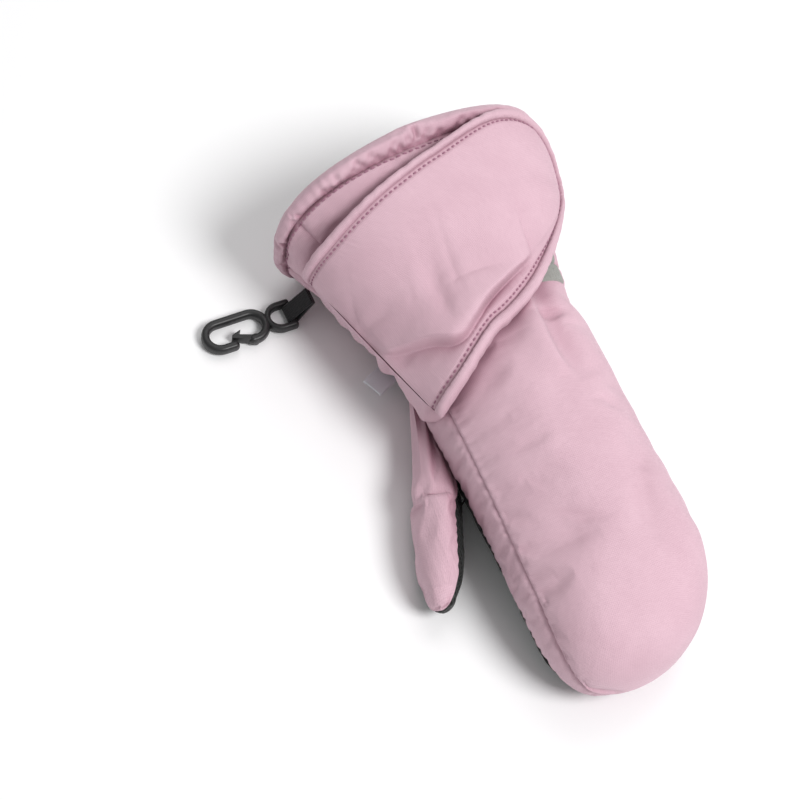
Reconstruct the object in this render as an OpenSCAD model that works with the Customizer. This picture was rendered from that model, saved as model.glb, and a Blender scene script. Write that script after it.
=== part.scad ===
// Padded ski mitten for the left hand, lying palm down.
// +Y runs out through the cuff mouth, -X is the thumb side, +Z rises out of the back of the hand.

/* [Hand] */
// Length of the hand from the wrist seam to the finger end
hand_len = 163; // [150:1:180]
// Width across the knuckles
hand_w = 74; // [70:1:82]
// Depth of the padded hand from palm to back
hand_h = 54; // [50:1:60]
// Length of the rounded finger end
tip_len = 50; // [44:1:56]
// Height of the finger end's foremost line above the palm
tip_z = 20; // [16:1:24]

/* [Wrist and cuff] */
// Width of the gathered wrist
wrist_w = 74; // [70:1:80]
// Depth of the gathered wrist
wrist_h = 54; // [50:1:58]
// Length of the cuff from the wrist seam to the hem
cuff_len = 49; // [44:1:54]
// Width of the cuff at the hem
cuff_w = 112; // [104:1:120]
// Depth of the cuff at the hem
cuff_h = 75; // [68:1:82]
// How far the cuff mouth drops at the thumb side, against the middle
cuff_slant = 5; // [0:0.5:7]
// Length of the rolled hem along the cuff
hem_len = 10; // [8:0.5:12]
// How far the hem roll stands proud of the cuff
hem_proud = 1.7; // [1:0.1:2]

/* [Layers] */
// Outer fabric
shell_t = 1.2; // [0.8:0.1:1.4]
// Wadding
wadding_t = 5.2; // [4:0.1:6]
// Waterproof insert
membrane_t = 0.4; // [0.3:0.1:0.6]
// Brushed lining
lining_t = 1.6; // [1.2:0.1:2]
// Thickness of the wrist elastic
elastic_t = 1.3; // [1:0.1:1.6]
// Free play between neighbouring layers
play = 0.05; // [0.03:0.01:0.08]

/* [Thumb] */
// Free length of the thumb beyond the crotch
thumb_len = 42; // [36:1:48]
// Width of the thumb
thumb_w = 22; // [20:0.5:23]
// Depth of the thumb
thumb_h = 24; // [22:0.5:26]
// Angle between the thumb and the hand
thumb_angle = 21; // [20:1:26]
// Distance of the thumb crotch from the wrist seam
crotch_y = 64; // [60:1:68]
// Distance of the thumb's near end from the wrist seam
thumb_from = 10; // [8:1:14]

/* [Flap] */
// Height of the flap's underside over the cuff
flap_lift = 2.9; // [2.7:0.1:3.2]
// Thickness of the padded flap
flap_t = 4; // [3:0.1:4.5]
// Thickness of each fabric layer of the flap
flap_fabric = 0.7; // [0.5:0.1:0.9]
// Width of the binding round the free edge
binding_w = 4; // [3:0.1:5]
// Thickness of each half of the hook-and-loop fastener
fastener_t = 0.9; // [0.8:0.05:1]

/* [Clip] */
// Overall length of the clip
clip_len = 39; // [36:1:44]
// Width of the clip's hook
clip_w = 15; // [14:0.5:17]
// Thickness of the clip
clip_t = 4.6; // [4.2:0.1:5]
// Width of the clip's round section, seen from above
clip_wire = 3.3; // [3:0.1:3.6]
// Width of the webbing loop
loop_w = 7; // [6:0.5:7]

/* [Hidden] */
$fn = 48;

pink = "#e0bccb";
black = "#181a19";
wadding_white = "#f1efe9";
lining_grey = "#c9c6c4";

// Moves the centre of the whole mitten's footprint to the origin
frame_shift = [17.35, 49.68, 0];

// Depths of the layers below the outer surface
shell_in = shell_t;
wadding_out = shell_in + play;
elastic_in = wadding_out + elastic_t;
wadding_in = wadding_out + wadding_t;
membrane_out = wadding_in + play;
membrane_in = membrane_out + membrane_t;
lining_out = membrane_in + play;
lining_in = lining_out + lining_t;

// Reach from the crest line to each side and the height of the back, each against y
thumb_reach = [[-200, 0.4 * hand_w], [-30, 0.4 * hand_w], [-4, 0.42 * wrist_w],
               [22, 0.385 * cuff_w], [48, 0.482 * cuff_w], [62, 0.515 * cuff_w]];
finger_reach = [[-200, 0.6 * hand_w], [-70, 0.6 * hand_w], [-30, 0.595 * hand_w],
                [-4, 0.58 * wrist_w], [22, 0.446 * cuff_w], [48, 0.495 * cuff_w],
                [62, 0.51 * cuff_w]];
back_height = [[-200, 0.93 * hand_h], [-110, 0.96 * hand_h], [-70, hand_h], [-30, hand_h],
               [-4, wrist_h], [22, 0.88 * cuff_h], [48, 0.987 * cuff_h], [62, 1.04 * cuff_h]];
palm_round = 3;
back_round = 2.3;
thumb_corner = 3.2;
finger_corner = 2.05;

// Rows run from the hem to the tip centre along the thumb side, fan round the tip and run back
tip_y = -(hand_len - tip_len);
thumb_rows = 5;
row_y = concat([for (f = [1, 0.77, 0.55, 0.33, 0.12]) f * cuff_len], [-2],
               [for (k = [0:thumb_rows]) -thumb_from - (crotch_y - thumb_from) * k / thumb_rows],
               [for (f = [0.1, 0.4, 0.7, 1]) -crotch_y + (tip_y + crotch_y) * f]);
last_row = len(row_y) - 1;
fan = 12;
rows = 2 * last_row + fan;
wrist_row = 5;
hole_near = 6;
hole_far = hole_near + thumb_rows;

// Columns run from the palm's centre line up the side to the crest of the back
palm_seam = 4;
back_seam = 6;
columns = 10;
hole_low = 2;
palm_seam_angle = [[0, -12], [5, -14], [8, -10], [12, -8], [last_row, -10],
                   [last_row + fan / 2, -50], [last_row + fan, -40], [rows, -20]];
back_seam_angle = [[0, 30], [last_row, 30], [last_row + fan / 2, -2], [last_row + fan, 8], [rows, 8]];

// ---- interpolation ----
function smooth(t) = let (c = min(1, max(0, t))) c * c * (3 - 2 * c);
function key_slope(keys, k) =
    let (a = max(k - 1, 0), b = min(k + 1, len(keys) - 1))
    (keys[b][1] - keys[a][1]) / (keys[b][0] - keys[a][0]);
function key_span(keys, x, k = 0) =
    k >= len(keys) - 2 || x <= keys[k + 1][0] ? k : key_span(keys, x, k + 1);
// Smooth curve through the keys
function curve(keys, x) =
    let (k = key_span(keys, x), step = keys[k + 1][0] - keys[k][0],
         t = (x - keys[k][0]) / step,
         m0 = key_slope(keys, k) * step, m1 = key_slope(keys, k + 1) * step)
    (2 * t ^ 3 - 3 * t ^ 2 + 1) * keys[k][1] + (t ^ 3 - 2 * t ^ 2 + t) * m0
        + (3 * t ^ 2 - 2 * t ^ 3) * keys[k + 1][1] + (t ^ 3 - t ^ 2) * m1;
function unit(v) = v / norm(v);
function mix(a, b, t) = a * (1 - t) + b * t;

// ---- the mitten's surface ----
// Height of the surface: a superellipse quarter over or under the side line
function surface_z(up, y, side_z, depth) =
    up < 0 ? side_z - (side_z - depth) * (-up) ^ (2 / palm_round)
           : side_z + (curve(back_height, y) - depth - side_z) * up ^ (2 / back_round);
function surface_out(c, up) = c ^ (2 / (up < 0 ? palm_round : back_round));
// Point of the hand and cuff: angle 0 is the little-finger side, 90 the crest, 180 the thumb side
function body_point(y, angle, depth) =
    let (up = sin(angle), c = abs(cos(angle)), thumb = cos(angle) < 0,
         reach = curve(thumb ? thumb_reach : finger_reach, y) - depth,
         x = (thumb ? -1 : 1) * reach * surface_out(c, up),
         drop = cuff_slant * max(0, y) / cuff_len * x / (cuff_w / 2))
    [x, y + drop, surface_z(up, y, curve(back_height, y) / 2, depth)];
// Point of the rounded tip: turn 0 is the thumb side, 90 the finger end, 180 the other side
function tip_point(turn, angle, depth) =
    let (thumb = turn < 90, n = thumb ? thumb_corner : finger_corner,
         reach = curve(thumb ? thumb_reach : finger_reach, tip_y),
         side = [(thumb ? -1 : 1) * reach * abs(cos(turn)) ^ (2 / n), -tip_len * sin(turn) ^ (2 / n)],
         up = sin(angle),
         flat = side * (1 - depth / norm(side)) * surface_out(cos(angle), up),
         side_z = mix(curve(back_height, tip_y) / 2, tip_z, sin(turn)))
    [flat[0], tip_y + flat[1], surface_z(up, tip_y, side_z, depth)];

function column_angle(i, j) =
    let (low = curve(palm_seam_angle, i), high = curve(back_seam_angle, i))
    j <= palm_seam ? -90 + (low + 90) * j / palm_seam
    : j <= back_seam ? mix(low, high, (j - palm_seam) / (back_seam - palm_seam))
    : mix(high, 90, (j - back_seam) / (columns - back_seam));
function row_point(i, j, depth) =
    let (a = column_angle(i, j))
    i <= last_row ? body_point(row_y[i], 180 - a, depth)
    : i < last_row + fan ? tip_point(180 * (i - last_row) / fan, a, depth)
    : body_point(row_y[rows - i], a, depth);

// The thumb hole's edge is shared by the hand and the thumb, so its layers turn inwards there
turn_in = 0.94;
function on_hole_edge(i, j) =
    i >= hole_near && i <= hole_far && j >= hole_low && j <= palm_seam
    && (i == hole_near || i == hole_far || j == hole_low || j == palm_seam);
function hole_angle(i, j) =
    i == hole_far ? mix(-50, 50, (j - hole_low) / hole_columns)
    : j == palm_seam ? mix(50, 135, (hole_far - i) / thumb_rows)
    : i == hole_near ? mix(135, 225, (palm_seam - j) / hole_columns)
    : mix(225, 310, (i - hole_near) / thumb_rows);
function hole_turn(i, j) =
    let (a = hole_angle(i, j)) unit([turn_in, 0, 0] - thumb_side * cos(a) - [0, 0, sin(a)]);
function hand_point(i, j, depth) =
    on_hole_edge(i, j) ? row_point(i, j, 0) + depth * hole_turn(i, j) : row_point(i, j, depth);

// Points of one depth: the inner columns row by row, then the palm line, then the crest line
function hand_points(depth, near_depth = undef) = [
    for (i = [0:rows]) for (j = [1:columns - 1]) hand_point(i, j, depth_at(i, depth, near_depth)),
    for (j = [0, columns]) for (i = [0:last_row]) hand_point(i, j, depth_at(i, depth, near_depth))];
// At the wrist a layer may lie deeper, to leave room for the elastic
function depth_at(i, depth, near_depth) =
    is_undef(near_depth) || min(i, rows - i) > hole_near ? depth : near_depth;
function hand_id(i, j) =
    let (inner = (rows + 1) * (columns - 1), m = min(i, rows - i, last_row))
    j == 0 ? inner + m : j == columns ? inner + last_row + 1 + m : i * (columns - 1) + j - 1;
function in_hole(i, j) = i >= hole_near && i < hole_far && j >= hole_low && j < palm_seam;
// Cells of the surface between two rows, counted from the hem, and two columns
function hand_cells(row_from, row_to, column_from = 0, column_to = columns) = [
    for (i = [0:rows - 1]) for (j = [column_from:column_to - 1])
        let (m = min(i, rows - 1 - i))
        if (m >= row_from && m < row_to && !in_hole(i, j))
            [hand_id(i, j), hand_id(i + 1, j), hand_id(i + 1, j + 1), hand_id(i, j + 1)]];

// ---- solids made from surfaces ----
function triangles(cells) = [
    for (c = cells) each [
        if (c[0] != c[1] && c[1] != c[2]) [c[0], c[1], c[2]],
        if (c[2] != c[3] && c[3] != c[0]) [c[0], c[2], c[3]]]];
// Closed layer between two surfaces with the same cells, walled along every open edge
module layer(outside, inside, cells) {
    count = len(outside);
    edges = [for (c = cells) for (k = [0:3]) if (c[k] != c[(k + 1) % 4]) [c[k], c[(k + 1) % 4]]];
    codes = [for (e = edges) e[0] * count + e[1]];
    rim = [for (e = edges) if (len(search(e[1] * count + e[0], codes)) == 0) e];
    skin = triangles(cells);
    polyhedron(concat(outside, inside), concat(
        [for (t = skin) [t[2], t[1], t[0]]],
        [for (t = skin) t + [count, count, count]],
        [for (e = rim) each [[e[0], e[1], e[1] + count], [e[0], e[1] + count, e[0] + count]]]));
}
// Closed bar swept through rings of equally many points
module swept(rings, closed = false) {
    n = len(rings[0]);
    last = len(rings) - (closed ? 1 : 2);
    walls = [for (r = [0:last]) for (k = [0:n - 1])
        let (a = r * n + k, b = r * n + (k + 1) % n,
             c = ((r + 1) % len(rings)) * n + k, d = ((r + 1) % len(rings)) * n + (k + 1) % n)
        each [[a, b, d], [a, d, c]]];
    caps = closed ? [] : [for (k = [1:n - 2]) each [
        [0, k + 1, k], let (s = (len(rings) - 1) * n) [s, s + k, s + k + 1]]];
    polyhedron([for (r = rings) each r], concat(walls, caps));
}
module hand_layer(from, to, cells, near_from = undef) {
    layer(hand_points(from, near_from), hand_points(to), cells);
}

// ---- hand and cuff ----
module back_panel() {
    color(pink) hand_layer(0, shell_in, hand_cells(wrist_row, rows, back_seam));
}
module finger_gusset() {
    color(pink) hand_layer(0, shell_in, hand_cells(wrist_row, rows, palm_seam, back_seam));
}
module palm_panel() {
    color(black) hand_layer(0, shell_in, hand_cells(wrist_row, rows, 0, palm_seam));
}
module cuff_back_panel() {
    color(pink) hand_layer(0, shell_in, hand_cells(0, wrist_row, back_seam));
}
module cuff_palm_panel() {
    color(pink) hand_layer(0, shell_in, hand_cells(0, wrist_row, 0, back_seam));
}
module wrist_elastic() {
    color("white") hand_layer(wadding_out, elastic_in - play, hand_cells(wrist_row - 1, hole_near));
}
module hand_insulation() {
    color(wadding_white)
        hand_layer(wadding_out, wadding_in, hand_cells(wrist_row - 1, rows), elastic_in);
}
module cuff_insulation() {
    color(wadding_white) hand_layer(wadding_out, wadding_in, hand_cells(0, wrist_row - 1));
}
module hand_membrane() {
    color("#dfe6ea") hand_layer(membrane_out, membrane_in, hand_cells(wrist_row - 1, rows));
}
module hand_lining() {
    color(lining_grey) hand_layer(lining_out, lining_in, hand_cells(0, rows));
}

// Rolled hem: a flat face against the layers' ends, round everywhere else
module cuff_hem() {
    middle = lining_in / 2;
    half = middle + hem_proud;
    ring_ids = concat([for (j = [0:columns]) [0, j]], [for (j = [columns - 1:-1:1]) [rows, j]]);
    profile = concat([[-middle, 0], [middle, 0]],
                     [for (a = [0:30:180]) [half * cos(a), hem_len * (0.42 + 0.58 * sin(a))]]);
    color(pink) swept([for (id = ring_ids) [for (p = profile)
        let (q = row_point(id[0], id[1], middle - p[0]) + [0, play + p[1], 0])
        [q[0], q[1], max(0, q[2])]]], closed = true);
}

// ---- thumb ----
thumb_axis = [-sin(thumb_angle), -cos(thumb_angle), 0];
thumb_side = [cos(thumb_angle), -sin(thumb_angle), 0];
thumb_base = [-0.4 * hand_w - 11.6, -crotch_y - 5, thumb_h / 2 + 0.4];
thumb_round = 2.3;
// The layers start this far from the hole's edge: the shell by a seam's width, the softer ones by more
seam_play = 0.7;
root_play = 2;
// Ring positions: the first ones turn from the hole into the tube, the rest lie along it
// The thumb's wadding and lining are this much thinner than the hand's
thumb_loft = 0.45;
turn_steps = [0, 0.35, 0.7];
tube_steps = [0.03, 0.25, 0.47, 0.66, 0.81, 0.92, 0.98];
hole_columns = palm_seam - hole_low;
around = 2 * (hole_columns + thumb_rows);
hole_edge = concat([for (j = [hole_low:palm_seam - 1]) [hole_far, j]],
                   [for (i = [hole_far:-1:hole_near + 1]) [i, palm_seam]],
                   [for (j = [palm_seam:-1:hole_low + 1]) [hole_near, j]],
                   [for (i = [hole_near:hole_far - 1]) [i, hole_low]]);
function power(v, p) = sign(v) * abs(v) ^ p;
function thumb_ring_point(step, angle, depth) =
    let (closing = max(0, (step - 0.45) / 0.55), taper = (1 - 0.08 * step) * (1 - closing ^ 2.4) ^ (1 / 2.4),
         d = depth <= shell_in ? depth : shell_in + (depth - shell_in) * thumb_loft)
    thumb_base + thumb_axis * step * (thumb_len - d)
        + thumb_side * (thumb_w / 2 - d) * taper * power(cos(angle), 2 / thumb_round)
        + [0, 0, (thumb_h / 2 - d) * taper * power(sin(angle), 2 / thumb_round)];
function thumb_points(depth) = [
    for (t = turn_steps) for (e = hole_edge)
        let (start = hand_point(e[0], e[1], depth),
             end = thumb_ring_point(tube_steps[0], hole_angle(e[0], e[1]), depth))
        mix(start + (depth > shell_in ? root_play : seam_play) * unit(end - start), end, t),
    for (t = tube_steps) for (e = hole_edge) thumb_ring_point(t, hole_angle(e[0], e[1]), depth),
    thumb_base + thumb_axis * (thumb_len - depth)];
thumb_rings = len(turn_steps) + len(tube_steps);
function thumb_id(r, k) = r == thumb_rings ? r * around : r * around + (k + around) % around;
function thumb_cells(from, to) = [
    for (r = [0:thumb_rings - 1]) for (k = [from:to - 1])
        [thumb_id(r, k), thumb_id(r, k + 1), thumb_id(r + 1, k + 1), thumb_id(r + 1, k)]];
module thumb_layer(from, to, cells) {
    layer(thumb_points(from), thumb_points(to), cells);
}
// The grip side runs under the thumb from its outer lower edge to the side that faces the hand
grip_from = hole_columns + thumb_rows + hole_columns - around;
module thumb_back() {
    color(pink) thumb_layer(0, shell_in, thumb_cells(hole_columns, grip_from + around));
}
module thumb_palm() {
    color(black) thumb_layer(0, shell_in, thumb_cells(grip_from, hole_columns));
}
module thumb_insulation() {
    color(wadding_white) thumb_layer(wadding_out, wadding_in, thumb_cells(0, around));
}
module thumb_membrane() {
    color("#dfe6ea") thumb_layer(membrane_out, membrane_in, thumb_cells(0, around));
}
module thumb_lining() {
    color(lining_grey) thumb_layer(lining_out, lining_in, thumb_cells(0, around));
}

// ---- flap ----
// The hinge line runs straight along the thumb side, over the hollow of the wrist
hinge_top = [-50.5, 33, 30];
hinge_low = [-31, -48, 42];
hinge_gap = 0.8;
flap_mid = 24;
flap_end = 16;
// Edges of the flap against its run from the hinge, 0, to its rounded end, 1
flap_upper = [[0, 35], [0.25, 33], [0.5, 40], [0.75, 51], [1, 52]];
flap_lower = [[0, -49], [0.25, -41], [0.5, -26], [0.75, -8], [1, 8]];
flap_runs = [0, 0.05, 0.12, 0.21, 0.32, 0.44, 0.56, 0.68, 0.78, 0.86, 0.92, 0.96, 0.99, 1];
flap_across = 5;
// Point of the flap at height h over its underside, drawn in from the edge by a margin
function flap_point(run, across, h, margin) =
    let (closing = max(0, (run - 0.6) / 0.4), round_off = (1 - closing ^ 2.3) ^ (1 / 2.3),
         top = flap_mid + (curve(flap_upper, run) - margin - flap_mid) * round_off,
         low = flap_mid + (curve(flap_lower, run) + margin - flap_mid) * round_off,
         last = flap_end + margin * 1.1,
         angle = mix(mix(152, 188, across), last, run),
         y = mix(low, top, across), mid = flap_lift + flap_t / 2,
         on_cuff = body_point(y, angle, -mid), up = body_point(y, angle, -mid - 1) - on_cuff,
         free = smooth(run / 0.2), room = margin / norm(hinge_top - hinge_low),
         hinge = mix(hinge_low, hinge_top, mix(room, 1 - room, across)) + [0, 0, hinge_gap],
         thin = mix(0.22, 1, smooth(run / 0.14)))
    mix(hinge, on_cuff, free) + (h - flap_t / 2) * thin * unit(up);
function flap_id(r, v) = r * (flap_across + 1) + (r == len(flap_runs) - 1 ? 0 : v);
function flap_points(h) = [
    for (run = flap_runs) for (v = [0:flap_across]) flap_point(run, v / flap_across, h, binding_w)];
function flap_cells(run_from, run_to, from, to) = [
    for (r = [run_from:run_to - 1]) for (v = [from:to - 1])
    [flap_id(r, v), flap_id(r + 1, v), flap_id(r + 1, v + 1), flap_id(r, v + 1)]];
module flap_layer(from, to) {
    layer(flap_points(to), flap_points(from), flap_cells(0, len(flap_runs) - 1, 0, flap_across));
}
module flap_lining() {
    color(pink) flap_layer(0, flap_fabric);
}
module flap_padding() {
    color(wadding_white) flap_layer(flap_fabric + play, flap_t - flap_fabric - play);
}
module flap_outer() {
    color(pink) flap_layer(flap_t - flap_fabric, flap_t);
}
// The binding's flat side meets the edges of the three layers, its round side is the flap's edge
module flap_binding() {
    n = len(flap_runs);
    half = [[0, flap_t / 2], [0.3, flap_t / 2 + 0.3], [0.7, flap_t / 2 - 0.1], [0.95, flap_t / 2 - 1]];
    profile = [for (p = concat(half, [[1, 0]], [for (k = [3:-1:0]) [half[k][0], -half[k][1]]]))
        [p[0], p[1] + flap_t / 2]];
    path = concat([for (r = [0:n - 1]) [flap_runs[r], 1]], [for (r = [n - 2:-1:0]) [flap_runs[r], 0]]);
    color(pink) swept([for (s = path) [for (p = profile)
        mix(flap_point(s[0], s[1], p[1], binding_w - play), flap_point(s[0], s[1], p[1], 0), p[0])]]);
}
// Fastener: the loops follow the cuff, the hooks follow the flap's underside
module loop_patch() {
    n = 8;
    function grid(h) = [for (a = [0:n]) for (b = [0:n])
        body_point(mix(-14, 32, a / n), mix(22, 58, b / n), -h)];
    color("#9a9a92") layer(grid(play + fastener_t), grid(play),
        [for (a = [0:n - 1]) for (b = [0:n - 1])
            let (k = a * (n + 1) + b) [k, k + n + 1, k + n + 2, k + 1]]);
}
module hook_patch() {
    color("#8c8c86") layer(flap_points(-play), flap_points(-play - fastener_t),
                           flap_cells(7, 10, 1, flap_across - 1));
}
// Folded strip between the cuff's side and the hinge line
module flap_seam() {
    steps = 8;
    bead = 0.25;
    color(pink) swept([for (k = [0:steps])
        let (t = k / steps, hinge = mix(hinge_low, hinge_top, t),
             angle = mix(154, 190, t), y = mix(-48, 33, t))
        [hinge + [-bead, 0, -bead], body_point(y, angle + 9, -0.15), body_point(y, angle + 1, -0.15),
         hinge + [bead, 0, 0]]]);
}

// ---- clip and label ----
// The clip lies flat beside the cuff, its eye under the cuff's side and its hook pointing away.
// Its own x runs from the bar of the eye to the hook's round end.
bar_place = [-54, 34, clip_t / 2 + 0.3];
bar_r = 1.2;
eye_w = loop_w + 6;
eye_wall = 2.6;
eye_len = 11;
hook_from = eye_len - 1.5;
hook_to = clip_len - bar_r;
wire_y = (clip_w - clip_wire) / 2;
gate_root = [hook_from + clip_w / 2 + 0.5, wire_y];
gate_tip = [hook_to - 12.4, wire_y - 3.4];
nose_x = gate_tip[0] - 1;
gate_play = 0.3;
gate_w = 2.4;
module clip_place() {
    translate(bar_place) rotate(180) children();
}
// Round-ended bar along x
module stadium(from, to, width) {
    for (x = [from + width / 2, to - width / 2]) translate([x, 0]) circle(d = width);
    translate([from + width / 2, -width / 2]) square([to - from - width, width]);
}
module clip_outline() {
    difference() {
        union() {
            translate([-bar_r, -eye_w / 2]) square([eye_len - eye_w / 2, eye_w]);
            translate([eye_len - eye_w / 2, 0]) circle(d = eye_w);
            stadium(hook_from, hook_to, clip_w);
        }
        stadium(-2 * eye_w, eye_len - eye_wall, eye_w - 2 * eye_wall);
        stadium(hook_from + clip_wire, hook_to - clip_wire, clip_w - 2 * clip_wire);
        translate([gate_root[0], wire_y - clip_wire / 2 - 0.1])
            square([nose_x - gate_root[0], clip_wire + 1]);
        translate(gate_root) circle(r = clip_wire / 2 + gate_play);
    }
    translate([nose_x, wire_y]) circle(d = clip_wire);
}
module clip_hook() {
    color(black) clip_place() {
        translate([0, 0, -clip_t / 2]) linear_extrude(clip_t) clip_outline();
        rotate([90, 0, 0]) cylinder(r = bar_r, h = eye_w - eye_wall, center = true);
    }
}
// Spring tongue with its barb, closing the hook's mouth from inside the nose
module clip_gate() {
    barb = [[0.3, -0.8], [0.9, 0.2], [-0.4, 1], [-3.4, -1.9], [-1.6, -1.4]];
    color(black) clip_place() translate([0, 0, -clip_t / 2 + 0.4]) linear_extrude(clip_t - 0.8) {
        translate(gate_root) circle(r = clip_wire / 2);
        hull() {
            translate(gate_root) circle(d = gate_w);
            translate(gate_tip) circle(d = gate_w * 0.7);
        }
        translate(gate_tip) polygon(barb);
    }
}
// Webbing sewn to the cuff's side and passed round the bar
module clip_loop() {
    inner = bar_r + 0.3;
    webbing = 0.8;
    color(black) translate(bar_place) rotate([90, 0, 0]) linear_extrude(loop_w, center = true)
        difference() {
            hull() {
                circle(r = inner + webbing);
                translate([7.6, 10]) circle(r = webbing);
            }
            circle(r = inner);
        }
}
module care_label() {
    color("#dfe3ea") translate([-31.5, -3, 9]) rotate([0, 0, 205]) cube([11, 9, 0.6]);
}

translate(frame_shift) back_panel();
translate(frame_shift) finger_gusset();
translate(frame_shift) palm_panel();
translate(frame_shift) thumb_back();
translate(frame_shift) thumb_palm();
translate(frame_shift) cuff_back_panel();
translate(frame_shift) cuff_palm_panel();
translate(frame_shift) cuff_hem();
translate(frame_shift) wrist_elastic();
translate(frame_shift) hand_insulation();
translate(frame_shift) thumb_insulation();
translate(frame_shift) cuff_insulation();
translate(frame_shift) hand_membrane();
translate(frame_shift) thumb_membrane();
translate(frame_shift) hand_lining();
translate(frame_shift) thumb_lining();
translate(frame_shift) loop_patch();
translate(frame_shift) care_label();
translate(frame_shift) flap_seam();
translate(frame_shift) flap_outer();
translate(frame_shift) flap_padding();
translate(frame_shift) flap_lining();
translate(frame_shift) flap_binding();
translate(frame_shift) hook_patch();
translate(frame_shift) clip_loop();
translate(frame_shift) clip_hook();
translate(frame_shift) clip_gate();
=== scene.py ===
import bmesh
import bpy
import numpy as np
from mathutils import Matrix, Vector


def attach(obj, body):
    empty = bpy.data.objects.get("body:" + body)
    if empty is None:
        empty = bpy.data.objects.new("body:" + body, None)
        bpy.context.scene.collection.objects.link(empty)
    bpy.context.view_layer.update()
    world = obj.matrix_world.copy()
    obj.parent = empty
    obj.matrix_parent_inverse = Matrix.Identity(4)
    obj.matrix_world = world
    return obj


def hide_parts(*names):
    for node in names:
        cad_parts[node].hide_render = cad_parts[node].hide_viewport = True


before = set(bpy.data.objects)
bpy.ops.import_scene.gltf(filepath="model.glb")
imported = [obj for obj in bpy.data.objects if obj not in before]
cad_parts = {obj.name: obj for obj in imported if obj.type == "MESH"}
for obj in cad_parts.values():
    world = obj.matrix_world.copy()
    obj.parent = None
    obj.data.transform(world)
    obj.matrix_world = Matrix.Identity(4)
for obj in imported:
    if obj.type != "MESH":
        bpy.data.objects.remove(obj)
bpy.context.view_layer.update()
scene = bpy.context.scene

# the mitten's surface, in millimetres
# The spine runs along y = 0 at the wrist seam, fingers towards -y, cuff towards +y, thumb towards -x.
mitten = {
    "handLength": 163,  # wrist seam to finger end
    "handWidth": 74,
    "handHeight": 54,
    "tipLength": 50,  # rounded finger end
    "tipHeight": 20,  # height of the foremost line
    "wristWidth": 74,
    "wristHeight": 54,
    "cuffLength": 49,
    "cuffWidth": 112,
    "cuffHeight": 75,
    "cuffSlant": 5,
    "palmRound": 3.0,  # squareness of the cross-section below and above the side line
    "backRound": 2.3,
    "thumbCorner": 3.2,  # squareness of the finger end's outline on each side
    "fingerCorner": 2.05,
    "origin": (17.35, 49.68, 0.0),  # added to the spine's frame to give the object's
    "shell": 1.2,  # depth of the shell's inside
}
m = mitten
thumbReach = [[-200, 0.4 * m["handWidth"]], [-30, 0.4 * m["handWidth"]], [-4, 0.42 * m["wristWidth"]],
              [22, 0.385 * m["cuffWidth"]], [48, 0.482 * m["cuffWidth"]], [62, 0.515 * m["cuffWidth"]]]
fingerReach = [[-200, 0.6 * m["handWidth"]], [-70, 0.6 * m["handWidth"]], [-30, 0.595 * m["handWidth"]],
               [-4, 0.58 * m["wristWidth"]], [22, 0.446 * m["cuffWidth"]], [48, 0.495 * m["cuffWidth"]],
               [62, 0.51 * m["cuffWidth"]]]
backHeight = [[-200, 0.93 * m["handHeight"]], [-110, 0.96 * m["handHeight"]], [-70, m["handHeight"]],
              [-30, m["handHeight"]], [-4, m["wristHeight"]], [22, 0.88 * m["cuffHeight"]],
              [48, 0.987 * m["cuffHeight"]], [62, 1.04 * m["cuffHeight"]]]
tipY = -(m["handLength"] - m["tipLength"])
# The seams' heights, as angles up from the side line, against places round the mitten's edge:
# 0 at the hem on the thumb side, 15 where the finger end starts, 27 where it ends, 42 at the hem again
palmSeamKeys = [[0, -12], [5, -14], [8, -10], [12, -8], [15, -10], [21, -50], [27, -40], [42, -20]]
backSeamKeys = [[0, 22], [15, 22], [21, -12], [27, 4], [42, 8]]
placeOfY = np.array([[49, 0], [37.73, 1], [26.95, 2], [16.17, 3], [5.88, 4], [-2, 5], [-10, 6], [-20.8, 7],
                     [-31.6, 8], [-42.4, 9], [-53.2, 10], [-64, 11], [-68.9, 12], [-83.6, 13], [-98.3, 14],
                     [-113, 15]], float)


def smoothKeys(keys, x):
    # cubic through the keys, each slope taken from its two neighbours
    kx, kv = np.array(keys, float).T
    slope = np.empty_like(kv)
    slope[1:-1] = (kv[2:] - kv[:-2]) / (kx[2:] - kx[:-2])
    slope[0] = (kv[1] - kv[0]) / (kx[1] - kx[0])
    slope[-1] = (kv[-1] - kv[-2]) / (kx[-1] - kx[-2])
    x = np.asarray(x, float)
    k = np.clip(np.searchsorted(kx, x, side="left") - 1, 0, len(kx) - 2)
    step = kx[k + 1] - kx[k]
    t = (x - kx[k]) / step
    return ((2 * t**3 - 3 * t**2 + 1) * kv[k] + (t**3 - 2 * t**2 + t) * step * slope[k]
            + (3 * t**2 - 2 * t**3) * kv[k + 1] + (t**3 - t**2) * step * slope[k + 1])


def smoothStep(t):
    # 3t^2 - 2t^3 between 0 and 1
    t = np.clip(t, 0, 1)
    return t * t * (3 - 2 * t)


def sectionRound(lift):
    # the section's squareness: the palm's below the side line, the back's above it
    return np.where(lift < 0, m["palmRound"], m["backRound"])


def roundLift(theta):
    # evenly spaced directions to superellipse angles: tan(lift) = tan(theta)^(n/2)
    t = np.radians(np.abs(theta))
    n = sectionRound(theta)
    return np.sign(theta) * np.degrees(np.arctan2(np.sin(t) ** (n / 2), np.abs(np.cos(t)) ** (n / 2)))


def evenLift(lift):
    # the inverse of roundLift
    t = np.radians(np.abs(lift))
    n = sectionRound(lift)
    return np.sign(lift) * np.degrees(np.arctan2(np.sin(t) ** (2 / n), np.abs(np.cos(t)) ** (2 / n)))


def sectionHeight(s, height, sideZ, depth):
    # quarter superellipses over and under the side line
    low = sideZ - (sideZ - depth) * np.abs(s) ** (2 / m["palmRound"])
    high = sideZ + (height - depth - sideZ) * np.abs(s) ** (2 / m["backRound"])
    return np.where(s < 0, low, high)


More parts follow.
